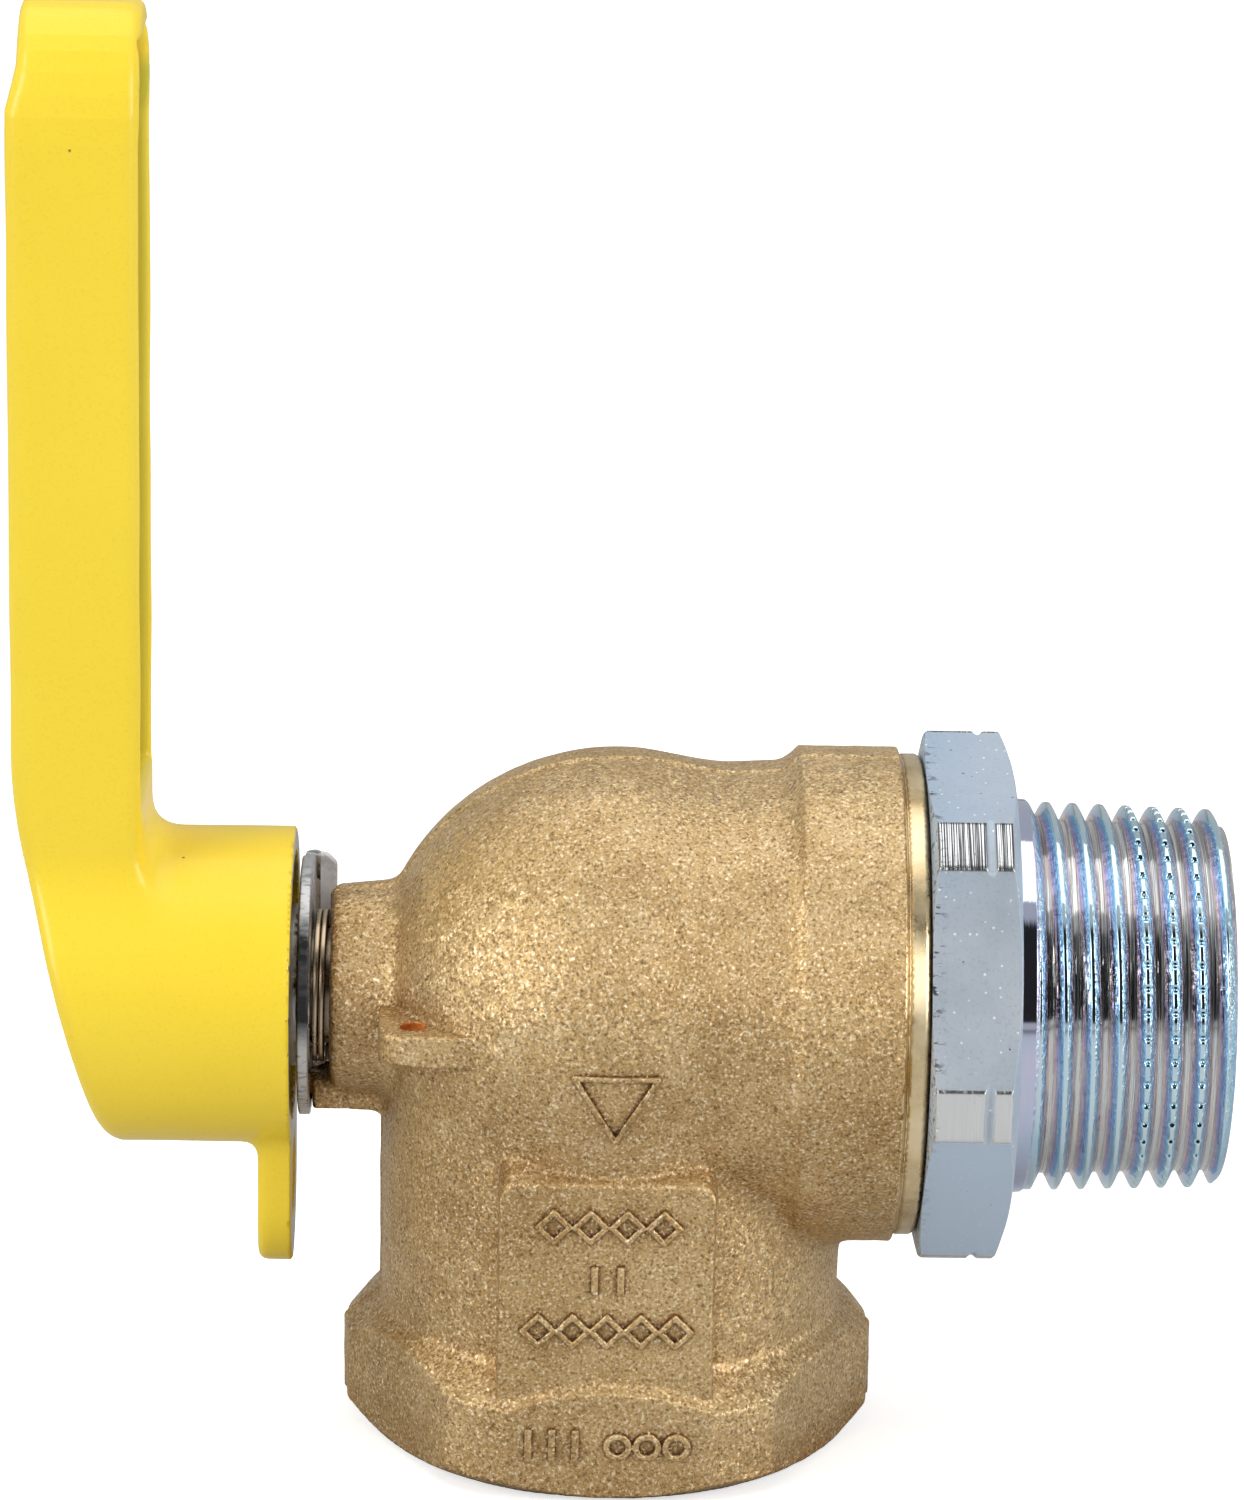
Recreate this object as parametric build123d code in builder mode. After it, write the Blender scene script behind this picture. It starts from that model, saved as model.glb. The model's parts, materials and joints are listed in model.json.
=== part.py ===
"""Angle pattern gas ball valve, 1 inch, with a swivel-free male outlet nipple and a quarter-turn lever.

Frame: the origin is the centre of the inlet port's end face. +Z runs up the inlet axis, +X runs
out along the outlet axis and the lever stands up (+Z) when the valve is open.
"""
from build123d import *
from math import cos, radians, sin, tan
import os

# ---- driving dimensions, millimetres ------------------------------------------------------
AXIS_H = 38.5  # height of the outlet and stem axis above the inlet end face
FIT = 0.05  # running clearance

# pipe threads, 11 threads per inch
PITCH = 25.4 / 11
CREST_FLAT = 0.42  # width of a crest land
MALE_R = 16.62  # crest radius of the outlet thread
MALE_ROOT_R = 15.14
FEMALE_R = 15.15  # crest radius of the inlet thread
FEMALE_ROOT_R = 16.62
INLET_TURNS = 7
FEMALE_L = INLET_TURNS * PITCH + CREST_FLAT
OUTLET_TURNS = 7

# forged body, outside
DOME_R = 21.0
RUN_R = 19.8
RISER_R = 19.9
BOSS_R = 21.4
BOSS_X0 = 15.6
BOSS_X1 = 24.0
TURNED_R = 20.8
BODY_X1 = 26.2
COLLAR_R = 22.9
COLLAR_AF = 42.4
COLLAR_TOP = 11.1
COLLAR_SHOULDER = 8.1
NECK_R = 9.1
NECK_X = -24.4
PANEL_X = (-9.6, 8.6)
PANEL_Z = (9.5, 28.2)
PANEL_Y = -20.4
LUG_Y = 3.0
LUG_BOTTOM = 10.6
EAR_X = -20.0
EAR_Y = -17.3
EAR_Z = (-1.2, 1.5)
EAR_HOLE_R = 1.05
EAR_HOLE = (-17.1, -14.3)
ARROW_HALF = 3.5
ARROW_Z = (-6.4, -0.6)
ARROW_LINE = 0.6
ARROW_R = 21.4

# forged body, inside
CAVITY_R = 17.2
SHANK_BORE_R = 18.4
SHANK_BORE_X = 16.4
RELIEF_R = 16.9
RELIEF_TOP = 18.2
RETAINER_BORE_R = 14.8
RETAINER_Z = (-20.0, -14.6)
COLLAR_POCKET_R = 7.55
COLLAR_POCKET_X = -19.0
BACK_POCKET_R = 11.3
BACK_POCKET_X = -15.4

# ball
BALL_R = 16.6
PORT_R = 9.2
SLOT_W = 5.0
SLOT_L = 12.0
SLOT_X = -12.6

# seats and their seals
SEAT_BALL_R = 16.63
SEAT_R = (9.6, 12.6)
SEAT_BACK = 16.3
SEAT_LIP = 12.65
SEAL_SECTION_R = 0.62
SEAL_GROOVE_W = 1.5
SEAL_GROOVE_D = 1.3
SEAL_R = 11.1
BACK_SEAT_R = (8.6, 11.2)

# outlet nipple
NIPPLE_X0 = 15.05
NIPPLE_BORE_R = 12.5
NIPPLE_CONE_X = (19.2, 23.0)
PILOT_R = 17.1
SHANK_R = 18.35
NIPPLE_SEAL_X = (23.9, 25.5)
NIPPLE_SEAL_GROOVE_R = 17.2
NIPPLE_SEAL_SECTION_R = 0.58
HEX_AF = 41.5
HEX_CORNER = 7.5  # degrees from +Y to a corner
HEX_TURNED_R = 22.8
HEX_X = (BODY_X1, 33.8)
HEX_CHAMFER_R = 20.7
HEX_CHAMFER = 0.6
SPIGOT_R = 17.0
SPIGOT_X = 35.5
NIPPLE_X1 = 52.3

# stem
STEM_R = 5.0
STEM_COLLAR_R = 7.5
STEM_COLLAR_X = (-18.2, -16.75)
STEM_SHOULDER_X = -26.1
STEM_END_X = -37.0
DRIVE_AF = 8.0
TANG_L = 11.8
TANG_X = -12.7
STEM_GROOVES = ((-21.3, -20.0), (-23.4, -22.1))
STEM_GROOVE_R = 3.9
STEM_SEAL_SECTION_R = 0.56
SCREW_R = 2.45
SCREW_END_X = -29.0

# spring washer
SPRING_R = (5.2, 6.6)
SPRING_T = 0.52
SPRING_PITCH = 0.55
SPRING_TURNS = 2

# stop plate
PLATE_X = (-27.1, -26.1)
PLATE_R = 11.2
PLATE_EAR_Y = 9.85
PLATE_EAR_Z = (2.0, 9.0)
PLATE_EAR_X = -24.3
PLATE_T = PLATE_X[1] - PLATE_X[0]
STOP_NOSE_Y = 1.5
STOP_NOSE_Z = (7.6, 9.6)
STOP_SLOT_R = (7.3, 9.95)
STOP_PLAY = 0.6  # degrees of play between the nose and either end of the slot
TURN = 90.0

# lever handle
HUB_R = 13.7
HUB_X = -27.65
HUB_WALL = 2.2
HUB_BOSS_R = 7.0
HUB_FLOOR_X = -37.5
SCREW_POCKET_R = 6.3
BLADE_FACE_X = -51.35
BLADE_RIM_X = -40.3
BLADE_HALF = 8.5
BLADE_WALL = 2.0
BLADE_WEB_X = -48.4
BLADE_TOP = 86.2
TIP_START = 77.0
TIP_HALF = 6.2
BEND_Z = 23.0
BEND_R = 45.0
BEND_ANGLE = 15.0
CHANNEL_Z = (19.0, 82.5)
INNER_FILLET = 3.5
HEEL_FILLET = 2.5
TIP_FILLET = 1.2
TAB_X = -30.5
TAB_HALF = 6.8
TAB_END = -25.0
TAB_HOLE_R = 3.6
TAB_HOLE_Z = -17.6

# lever fastening
WASHER_R = (2.6, 5.5)
WASHER_T = 1.0
LOCK_WASHER_R = (2.6, 4.4)
LOCK_WASHER_T = 1.3
LOCK_WASHER_SLIT = 0.7
SCREW_HEAD_R = 4.25
SCREW_HEAD_L = 5.0
SCREW_SOCKET_AF = 4.0
SCREW_SOCKET_D = 2.6

OUTLET_AXIS = Axis((0, 0, AXIS_H), (1, 0, 0))
AXIS_POINT = (0, 0, AXIS_H)


def turned(points, mode=Mode.ADD):
    """Revolve a closed (x, radius) outline about the outlet axis, into the part being built."""
    with BuildSketch(Plane.XZ, mode=Mode.PRIVATE) as outline:
        with BuildLine():
            Polyline([(x, AXIS_H + radius) for x, radius in points], close=True)
        make_face()
    revolve(outline.sketch, axis=OUTLET_AXIS, mode=mode)


def stood(points, mode=Mode.ADD):
    """Revolve a closed (radius, z above the axis) outline about the inlet axis."""
    with BuildSketch(Plane.XZ, mode=Mode.PRIVATE) as outline:
        with BuildLine():
            Polyline([(radius, AXIS_H + z) for radius, z in points], close=True)
        make_face()
    revolve(outline.sketch, axis=Axis.Z, mode=mode)


def tube(x0, x1, inner, outer, mode=Mode.ADD):
    """A plain ring about the outlet axis."""
    turned([(x0, inner), (x1, inner), (x1, outer), (x0, outer)], mode)


def ring_seal(x, centre_r, section_r):
    """An O-ring about the outlet axis."""
    with BuildSketch(Plane.XZ, mode=Mode.PRIVATE) as section:
        with Locations((x, AXIS_H + centre_r)):
            Circle(section_r)
    revolve(section.sketch, axis=OUTLET_AXIS)


def drive_profile(x, length, play, mode):
    """A round bar with two flats, run towards -X from x: the stem's drive end and its holes."""
    with BuildSketch(Plane.YZ.offset(x), mode=Mode.PRIVATE) as profile:
        with Locations((0, AXIS_H)):
            Circle(STEM_R + play)
            Rectangle(4 * STEM_R, DRIVE_AF + 2 * play, mode=Mode.INTERSECT)
    extrude(profile.sketch, amount=-length, mode=mode)


def thread_groove_xs(start, turns):
    """Start of each annular groove of a thread with its crest lands between the grooves."""
    return [start + CREST_FLAT + turn * PITCH for turn in range(turns)]


# ---- forged body --------------------------------------------------------------------------
with BuildPart() as collar_hex:
    with BuildSketch():
        RegularPolygon(COLLAR_AF / 2, 6, major_radius=False)
    extrude(amount=COLLAR_TOP)
    stood(
        [
            (0, -AXIS_H),
            (COLLAR_R - 0.9, -AXIS_H),
            (COLLAR_R, 0.9 - AXIS_H),
            (COLLAR_R, COLLAR_SHOULDER - AXIS_H),
            (RISER_R, COLLAR_TOP - AXIS_H),
            (0, COLLAR_TOP - AXIS_H),
        ],
        mode=Mode.INTERSECT,
    )

with BuildPart() as flow_arrow:
    with BuildSketch(Plane.XZ):
        with BuildLine():
            Polyline(
                (-ARROW_HALF, AXIS_H + ARROW_Z[1]),
                (ARROW_HALF, AXIS_H + ARROW_Z[1]),
                (0, AXIS_H + ARROW_Z[0]),
                close=True,
            )
        make_face()
        offset(amount=-ARROW_LINE, kind=Kind.INTERSECTION, mode=Mode.SUBTRACT)
    extrude(amount=2 * DOME_R)
    with Locations(AXIS_POINT):
        Sphere(ARROW_R, mode=Mode.INTERSECT)

with BuildPart() as valve_body:
    with BuildSketch():
        Circle(RISER_R)
    extrude(amount=AXIS_H)
    with Locations(AXIS_POINT):
        Sphere(DOME_R)
    turned(
        [
            (0, 0),
            (0, RUN_R),
            (BOSS_X0 + RUN_R - BOSS_R, RUN_R),
            (BOSS_X0, BOSS_R),
            (BOSS_X1, BOSS_R),
            (BOSS_X1 + 0.4, TURNED_R - 0.3),
            (BOSS_X1 + 0.7, TURNED_R),
            (BODY_X1 - 0.2, TURNED_R),
            (BODY_X1, TURNED_R - 0.2),
            (BODY_X1, 0),
        ]
    )
    turned([(0, 0), (0, NECK_R), (NECK_X + 1.0, NECK_R), (NECK_X, NECK_R - 1.0), (NECK_X, 0)])
    add(collar_hex.part)
    add(flow_arrow.part)
    # raised panel on the front of the riser
    with BuildSketch(Plane.XZ) as panel:
        with Locations(((PANEL_X[0] + PANEL_X[1]) / 2, sum(PANEL_Z) / 2)):
            RectangleRounded(PANEL_X[1] - PANEL_X[0], PANEL_Z[1] - PANEL_Z[0], 1.6)
    extrude(amount=-PANEL_Y)
    # sealing ear with its wire hole
    with BuildSketch(Plane.XY.offset(AXIS_H + EAR_Z[0])) as ear:
        with Locations(EAR_HOLE):
            Circle(EAR_HOLE[1] - EAR_Y)
        with BuildLine():
            Polyline(
                (EAR_HOLE[0], EAR_Y),
                (0, EAR_Y),
                (0, 0),
                (EAR_X, 0),
                (EAR_X, EAR_HOLE[1]),
                (EAR_HOLE[0], EAR_HOLE[1]),
                close=True,
            )
        make_face()
    extrude(amount=EAR_Z[1] - EAR_Z[0])
    # stop lug under the neck, and the nose on it that runs in the stop plate
    with BuildSketch(Plane.YZ.offset(PLATE_X[1] + 2 * FIT)) as lug:
        with Locations((0, AXIS_H - (NECK_R + LUG_BOTTOM) / 2)):
            Rectangle(2 * LUG_Y, LUG_BOTTOM - STOP_NOSE_Z[0] + 0.1)
    extrude(amount=-NECK_X - RISER_R / 2)
    with BuildSketch(Plane.YZ.offset(PLATE_X[0] - FIT)) as nose:
        with Locations((0, AXIS_H - sum(STOP_NOSE_Z) / 2)):
            Rectangle(2 * STOP_NOSE_Y, STOP_NOSE_Z[1] - STOP_NOSE_Z[0])
    extrude(amount=PLATE_T + 6 * FIT)
    # ball chamber, outlet bore and stem bore
    with Locations(AXIS_POINT):
        Sphere(CAVITY_R, mode=Mode.SUBTRACT)
    tube(0, BODY_X1, 0, CAVITY_R, Mode.SUBTRACT)
    tube(SHANK_BORE_X, BODY_X1, 0, SHANK_BORE_R, Mode.SUBTRACT)
    tube(BACK_POCKET_X, 0, 0, BACK_POCKET_R, Mode.SUBTRACT)
    tube(COLLAR_POCKET_X, 0, 0, COLLAR_POCKET_R, Mode.SUBTRACT)
    tube(NECK_X, 0, 0, STEM_R + FIT, Mode.SUBTRACT)
    # inlet: bore for the seat's screwed ring, thread relief, then the pipe thread
    stood(
        [
            (0, 0),
            (RETAINER_BORE_R, 0),
            (RETAINER_BORE_R, RELIEF_TOP - AXIS_H),
            (RELIEF_R, RELIEF_TOP - AXIS_H),
            (RELIEF_R, FEMALE_L - AXIS_H),
            (FEMALE_R, FEMALE_L - AXIS_H),
            (FEMALE_R, -AXIS_H),
            (0, -AXIS_H),
        ],
        Mode.SUBTRACT,
    )
    for groove in thread_groove_xs(0, INLET_TURNS):
        middle = groove + (PITCH - CREST_FLAT) / 2
        stood(
            [
                (FEMALE_R - 1, groove - AXIS_H),
                (FEMALE_R, groove - AXIS_H),
                (FEMALE_ROOT_R, middle - CREST_FLAT / 2 - AXIS_H),
                (FEMALE_ROOT_R, middle + CREST_FLAT / 2 - AXIS_H),
                (FEMALE_R, groove + PITCH - CREST_FLAT - AXIS_H),
                (FEMALE_R - 1, groove + PITCH - CREST_FLAT - AXIS_H),
            ],
            Mode.SUBTRACT,
        )
    with Locations((*EAR_HOLE, AXIS_H)):
        Hole(EAR_HOLE_R, depth=DOME_R)
valve_body.part.label = "valve_body"

# ---- ball: an elbow bore from the inlet side to the outlet side, and the stem's slot -------
with BuildPart() as ball:
    with Locations(AXIS_POINT):
        Sphere(BALL_R)
        Sphere(PORT_R, mode=Mode.SUBTRACT)
    tube(0, BALL_R, 0, PORT_R, Mode.SUBTRACT)
    stood([(0, 0), (PORT_R, 0), (PORT_R, -BALL_R), (0, -BALL_R)], Mode.SUBTRACT)
    with BuildSketch(Plane.YZ.offset(-BALL_R)) as slot:
        with Locations((0, AXIS_H)):
            SlotOverall(SLOT_L, SLOT_W, rotation=90)
    extrude(amount=BALL_R + SLOT_X, mode=Mode.SUBTRACT)
ball.part.label = "ball"

# ---- seats ----------------------------------------------------------------------------------
with BuildPart() as inlet_seat:
    stood([(SEAT_R[0], -SEAT_BACK), (SEAT_R[1], -SEAT_BACK), (SEAT_R[1], -SEAT_LIP),
           (SEAT_R[0], -SEAT_LIP)])
    with Locations(AXIS_POINT):
        Sphere(SEAT_BALL_R, mode=Mode.SUBTRACT)
inlet_seat.part.label = "inlet_seat"

with BuildPart() as outlet_seat:
    tube(SEAT_LIP, SEAT_BACK, SEAT_R[0], SEAT_R[1])
    with Locations(AXIS_POINT):
        Sphere(SEAT_BALL_R, rotation=(0, 90, 0), mode=Mode.SUBTRACT)
outlet_seat.part.label = "outlet_seat"

with BuildPart() as back_seat:
    tube(BACK_POCKET_X, -BACK_SEAT_R[1], BACK_SEAT_R[0], BACK_SEAT_R[1])
    with Locations(AXIS_POINT):
        Sphere(SEAT_BALL_R, rotation=(0, 90, 0), mode=Mode.SUBTRACT)
back_seat.part.label = "back_seat"

# ---- screwed ring that holds the inlet seat -------------------------------------------------
with BuildPart() as inlet_seat_ring:
    stood(
        [
            (SEAT_R[0], RETAINER_Z[0]),
            (RETAINER_BORE_R - FIT, RETAINER_Z[0]),
            (RETAINER_BORE_R - FIT, RETAINER_Z[1]),
            (SEAT_R[1] + FIT, RETAINER_Z[1]),
            (SEAT_R[1] + FIT, -SEAT_BACK),
            (SEAL_R + SEAL_GROOVE_W / 2, -SEAT_BACK),
            (SEAL_R + SEAL_GROOVE_W / 2, -SEAT_BACK - SEAL_GROOVE_D),
            (SEAL_R - SEAL_GROOVE_W / 2, -SEAT_BACK - SEAL_GROOVE_D),
            (SEAL_R - SEAL_GROOVE_W / 2, -SEAT_BACK),
            (SEAT_R[0], -SEAT_BACK),
        ]
    )
    # spanner slots
    with BuildSketch(Plane.XY.offset(AXIS_H + RETAINER_Z[0])) as spanner_slots:
        Rectangle(2.4, 4 * RETAINER_BORE_R)
        Rectangle(4 * RETAINER_BORE_R, 2.4)
    extrude(amount=2.0, mode=Mode.SUBTRACT)
inlet_seat_ring.part.label = "inlet_seat_ring"

with BuildPart() as inlet_seat_o_ring:
    with BuildSketch(Plane.XZ, mode=Mode.PRIVATE) as inlet_seal_section:
        with Locations((SEAL_R, AXIS_H - SEAT_BACK - SEAL_GROOVE_D / 2)):
            Circle(SEAL_SECTION_R)
    revolve(inlet_seal_section.sketch, axis=Axis.Z)
inlet_seat_o_ring.part.label = "inlet_seat_o_ring"

# ---- outlet nipple --------------------------------------------------------------------------
with BuildPart() as nipple_hex:
    with BuildSketch(Plane.YZ.offset(HEX_X[0])):
        with Locations((0, AXIS_H)):
            RegularPolygon(HEX_AF / 2, 6, major_radius=False, rotation=HEX_CORNER)
    extrude(amount=HEX_X[1] - HEX_X[0])
    turned(
        [
            (HEX_X[0], 0),
            (HEX_X[0], HEX_CHAMFER_R),
            (HEX_X[0] + HEX_CHAMFER, HEX_TURNED_R),
            (HEX_X[1] - HEX_CHAMFER, HEX_TURNED_R),
            (HEX_X[1], HEX_CHAMFER_R),
            (HEX_X[1], 0),
        ],
        mode=Mode.INTERSECT,
    )

with BuildPart() as outlet_nipple:
    tube(NIPPLE_X0, SHANK_BORE_X + FIT, 0, PILOT_R)
    tube(SHANK_BORE_X + FIT, HEX_X[0], 0, SHANK_R)
    add(nipple_hex.part)
    tube(HEX_X[0], SPIGOT_X, 0, SPIGOT_R)
    tube(SPIGOT_X, NIPPLE_X1, 0, MALE_R)
    turned(
        [
            (NIPPLE_X0, 0),
            (NIPPLE_X0, SEAT_R[0]),
            (NIPPLE_CONE_X[0], SEAT_R[0]),
            (NIPPLE_CONE_X[1], NIPPLE_BORE_R),
            (NIPPLE_X1, NIPPLE_BORE_R),
            (NIPPLE_X1, 0),
        ],
        Mode.SUBTRACT,
    )
    for groove in thread_groove_xs(SPIGOT_X, OUTLET_TURNS):
        middle = groove + (PITCH - CREST_FLAT) / 2
        turned(
            [
                (groove, MALE_R + 1),
                (groove, MALE_R),
                (middle - CREST_FLAT / 2, MALE_ROOT_R),
                (middle + CREST_FLAT / 2, MALE_ROOT_R),
                (groove + PITCH - CREST_FLAT, MALE_R),
                (groove + PITCH - CREST_FLAT, MALE_R + 1),
            ],
            Mode.SUBTRACT,
        )
    # seat counterbore, groove behind the seat, and groove for the body seal
    tube(NIPPLE_X0, SEAT_BACK, 0, SEAT_R[1] + FIT, Mode.SUBTRACT)
    tube(SEAT_BACK, SEAT_BACK + SEAL_GROOVE_D, SEAL_R - SEAL_GROOVE_W / 2,
         SEAL_R + SEAL_GROOVE_W / 2, Mode.SUBTRACT)
    tube(NIPPLE_SEAL_X[0], NIPPLE_SEAL_X[1], NIPPLE_SEAL_GROOVE_R, SHANK_BORE_R, Mode.SUBTRACT)
    # lead-in at the pipe end
    turned([(NIPPLE_X1 - 1.6, MALE_R + 1), (NIPPLE_X1 - 1.6, MALE_R), (NIPPLE_X1, MALE_R - 1.6),
            (NIPPLE_X1, MALE_R + 1)], Mode.SUBTRACT)
outlet_nipple.part.label = "outlet_nipple"

with BuildPart() as outlet_seat_o_ring:
    ring_seal(SEAT_BACK + SEAL_GROOVE_D / 2, SEAL_R, SEAL_SECTION_R)
outlet_seat_o_ring.part.label = "outlet_seat_o_ring"

with BuildPart() as nipple_o_ring:
    ring_seal(sum(NIPPLE_SEAL_X) / 2, (NIPPLE_SEAL_GROOVE_R + SHANK_BORE_R) / 2,
              NIPPLE_SEAL_SECTION_R)
nipple_o_ring.part.label = "nipple_o_ring"

# ---- stem -----------------------------------------------------------------------------------
with BuildPart() as stem:
    tube(STEM_COLLAR_X[0], STEM_COLLAR_X[1], 0, STEM_COLLAR_R)
    tube(STEM_SHOULDER_X, STEM_COLLAR_X[0], 0, STEM_R)
    drive_profile(STEM_SHOULDER_X, STEM_SHOULDER_X - STEM_END_X, 0, Mode.ADD)
    with BuildSketch(Plane.YZ.offset(STEM_COLLAR_X[1])) as tang:
        with Locations((0, AXIS_H)):
            SlotOverall(TANG_L, SLOT_W - 2 * FIT, rotation=90)
    extrude(amount=TANG_X - STEM_COLLAR_X[1])
    for groove_start, groove_end in STEM_GROOVES:
        tube(groove_start, groove_end, STEM_GROOVE_R, 2 * STEM_R, Mode.SUBTRACT)
    tube(STEM_END_X, SCREW_END_X, 0, SCREW_R + FIT, Mode.SUBTRACT)
stem.part.label = "stem"

with BuildPart() as stem_thrust_washer:
    tube(COLLAR_POCKET_X, STEM_COLLAR_X[0], STEM_R + FIT, STEM_COLLAR_R)
stem_thrust_washer.part.label = "stem_thrust_washer"

with BuildPart() as stem_o_ring_inner:
    ring_seal(sum(STEM_GROOVES[0]) / 2, (STEM_R + FIT + STEM_GROOVE_R) / 2, STEM_SEAL_SECTION_R)
stem_o_ring_inner.part.label = "stem_o_ring_inner"

with BuildPart() as stem_o_ring_outer:
    ring_seal(sum(STEM_GROOVES[1]) / 2, (STEM_R + FIT + STEM_GROOVE_R) / 2, STEM_SEAL_SECTION_R)
stem_o_ring_outer.part.label = "stem_o_ring_outer"

# ---- spring washer: a flat strip wound twice round the stem -----------------------------------
SPRING_MID_R = (SPRING_R[0] + SPRING_R[1]) / 2
SPRING_X0 = PLATE_X[1] + FIT + SPRING_T / 2

with BuildPart() as spring_washer:
    with BuildLine() as coil:
        Helix(SPRING_PITCH, SPRING_PITCH * SPRING_TURNS, SPRING_MID_R,
              center=(SPRING_X0, 0, AXIS_H), direction=(1, 0, 0))
    with BuildSketch(Plane(coil.line @ 0, x_dir=(1, 0, 0), z_dir=coil.line % 0)) as strip:
        Rectangle(SPRING_T, SPRING_R[1] - SPRING_R[0])
    sweep(path=coil.line, is_frenet=True)
spring_washer.part.label = "spring_washer"

# ---- stop plate -------------------------------------------------------------------------------
NOSE_HALF_ANGLE = 10.2  # half angle of the nose seen from the stem axis, with its corner

with BuildPart() as stop_plate:
    with BuildSketch(Plane.YZ.offset(PLATE_X[0])) as blank:
        with Locations((0, AXIS_H)):
            Circle(PLATE_R)
        with Locations((PLATE_EAR_Y / 2, AXIS_H + sum(PLATE_EAR_Z) / 2)):
            Rectangle(PLATE_EAR_Y, PLATE_EAR_Z[1] - PLATE_EAR_Z[0])
    extrude(amount=PLATE_T)
    # ear bent at a right angle towards the body
    with BuildSketch(Plane.XZ.offset(-PLATE_EAR_Y)) as plate_ear:
        with BuildLine():
            Polyline(
                (PLATE_X[0], AXIS_H + PLATE_EAR_Z[0]),
                (PLATE_EAR_X, AXIS_H + PLATE_EAR_Z[0]),
                (PLATE_EAR_X, AXIS_H + PLATE_EAR_Z[1] - 0.5),
                (PLATE_EAR_X - 0.5, AXIS_H + PLATE_EAR_Z[1]),
                (PLATE_X[0], AXIS_H + PLATE_EAR_Z[1]),
                close=True,
            )
        make_face()
    extrude(amount=PLATE_T)
    # far side trimmed flush with the ear
    with BuildSketch(Plane.YZ.offset(PLATE_X[0])) as trim:
        with Locations((PLATE_EAR_Y + PLATE_R / 2, AXIS_H)):
            Rectangle(PLATE_R, 2 * PLATE_R)
    extrude(amount=PLATE_T, mode=Mode.SUBTRACT)
    # quarter-turn slot for the body's nose
    with BuildSketch(Plane.YZ.offset(PLATE_X[0]), mode=Mode.PRIVATE) as stop_slot:
        with Locations((0, AXIS_H)):
            Circle(STOP_SLOT_R[1])
            Circle(STOP_SLOT_R[0], mode=Mode.SUBTRACT)
        with BuildLine():
            start = -90 + NOSE_HALF_ANGLE + STOP_PLAY
            reach = 2 * PLATE_R
            corner = [radians(start - fraction * (TURN + 2 * NOSE_HALF_ANGLE + 2 * STOP_PLAY))
                      for fraction in (0, 0.5, 1)]
            Polyline(
                (0, AXIS_H),
                *[(reach * cos(angle), AXIS_H + reach * sin(angle)) for angle in corner],
                close=True,
            )
        make_face(mode=Mode.INTERSECT)
    extrude(stop_slot.sketch, amount=PLATE_T, mode=Mode.SUBTRACT)
    drive_profile(PLATE_X[1], PLATE_T, FIT, Mode.SUBTRACT)
stop_plate.part.label = "stop_plate"

# ---- lever handle -----------------------------------------------------------------------------
BEND_END_Z = BEND_Z - BEND_R * sin(radians(BEND_ANGLE))
BEND_END_X = BLADE_FACE_X + BEND_R * (1 - cos(radians(BEND_ANGLE)))
HEEL_X = BEND_END_X + (BEND_END_Z + HUB_R) * tan(radians(BEND_ANGLE))

with BuildPart() as blade_side:
    # side outline of hub and blade, as thick as the hub
    with BuildSketch(Plane.XZ) as lever_side:
        with BuildLine():
            face = Line((BLADE_FACE_X + 0.6, AXIS_H + BLADE_TOP), (BLADE_FACE_X, AXIS_H + TIP_START))
            edge = Line(face @ 1, (BLADE_FACE_X, AXIS_H + BEND_Z))
            bend = JernArc(start=edge @ 1, tangent=(0, -1), radius=BEND_R, arc_size=BEND_ANGLE)
            heel = Line(bend @ 1, (HEEL_X, AXIS_H - HUB_R))
            foot = Line(heel @ 1, (HUB_X, AXIS_H - HUB_R))
            rim = Line(foot @ 1, (HUB_X, AXIS_H + HUB_R))
            crown = Line(rim @ 1, (BLADE_RIM_X, AXIS_H + HUB_R))
            inner = Line(crown @ 1, (BLADE_RIM_X, AXIS_H + BLADE_TOP))
            Line(inner @ 1, face @ 0)
        make_face()
        fillet(lever_side.vertices().sort_by_distance((BLADE_RIM_X, AXIS_H + HUB_R))[0],
               INNER_FILLET)
        fillet(lever_side.vertices().sort_by_distance((HEEL_X, AXIS_H - HUB_R))[0], HEEL_FILLET)
        fillet(lever_side.vertices().group_by(Axis.Y)[-1], TIP_FILLET)
    extrude(amount=HUB_R + 1, both=True)

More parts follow.
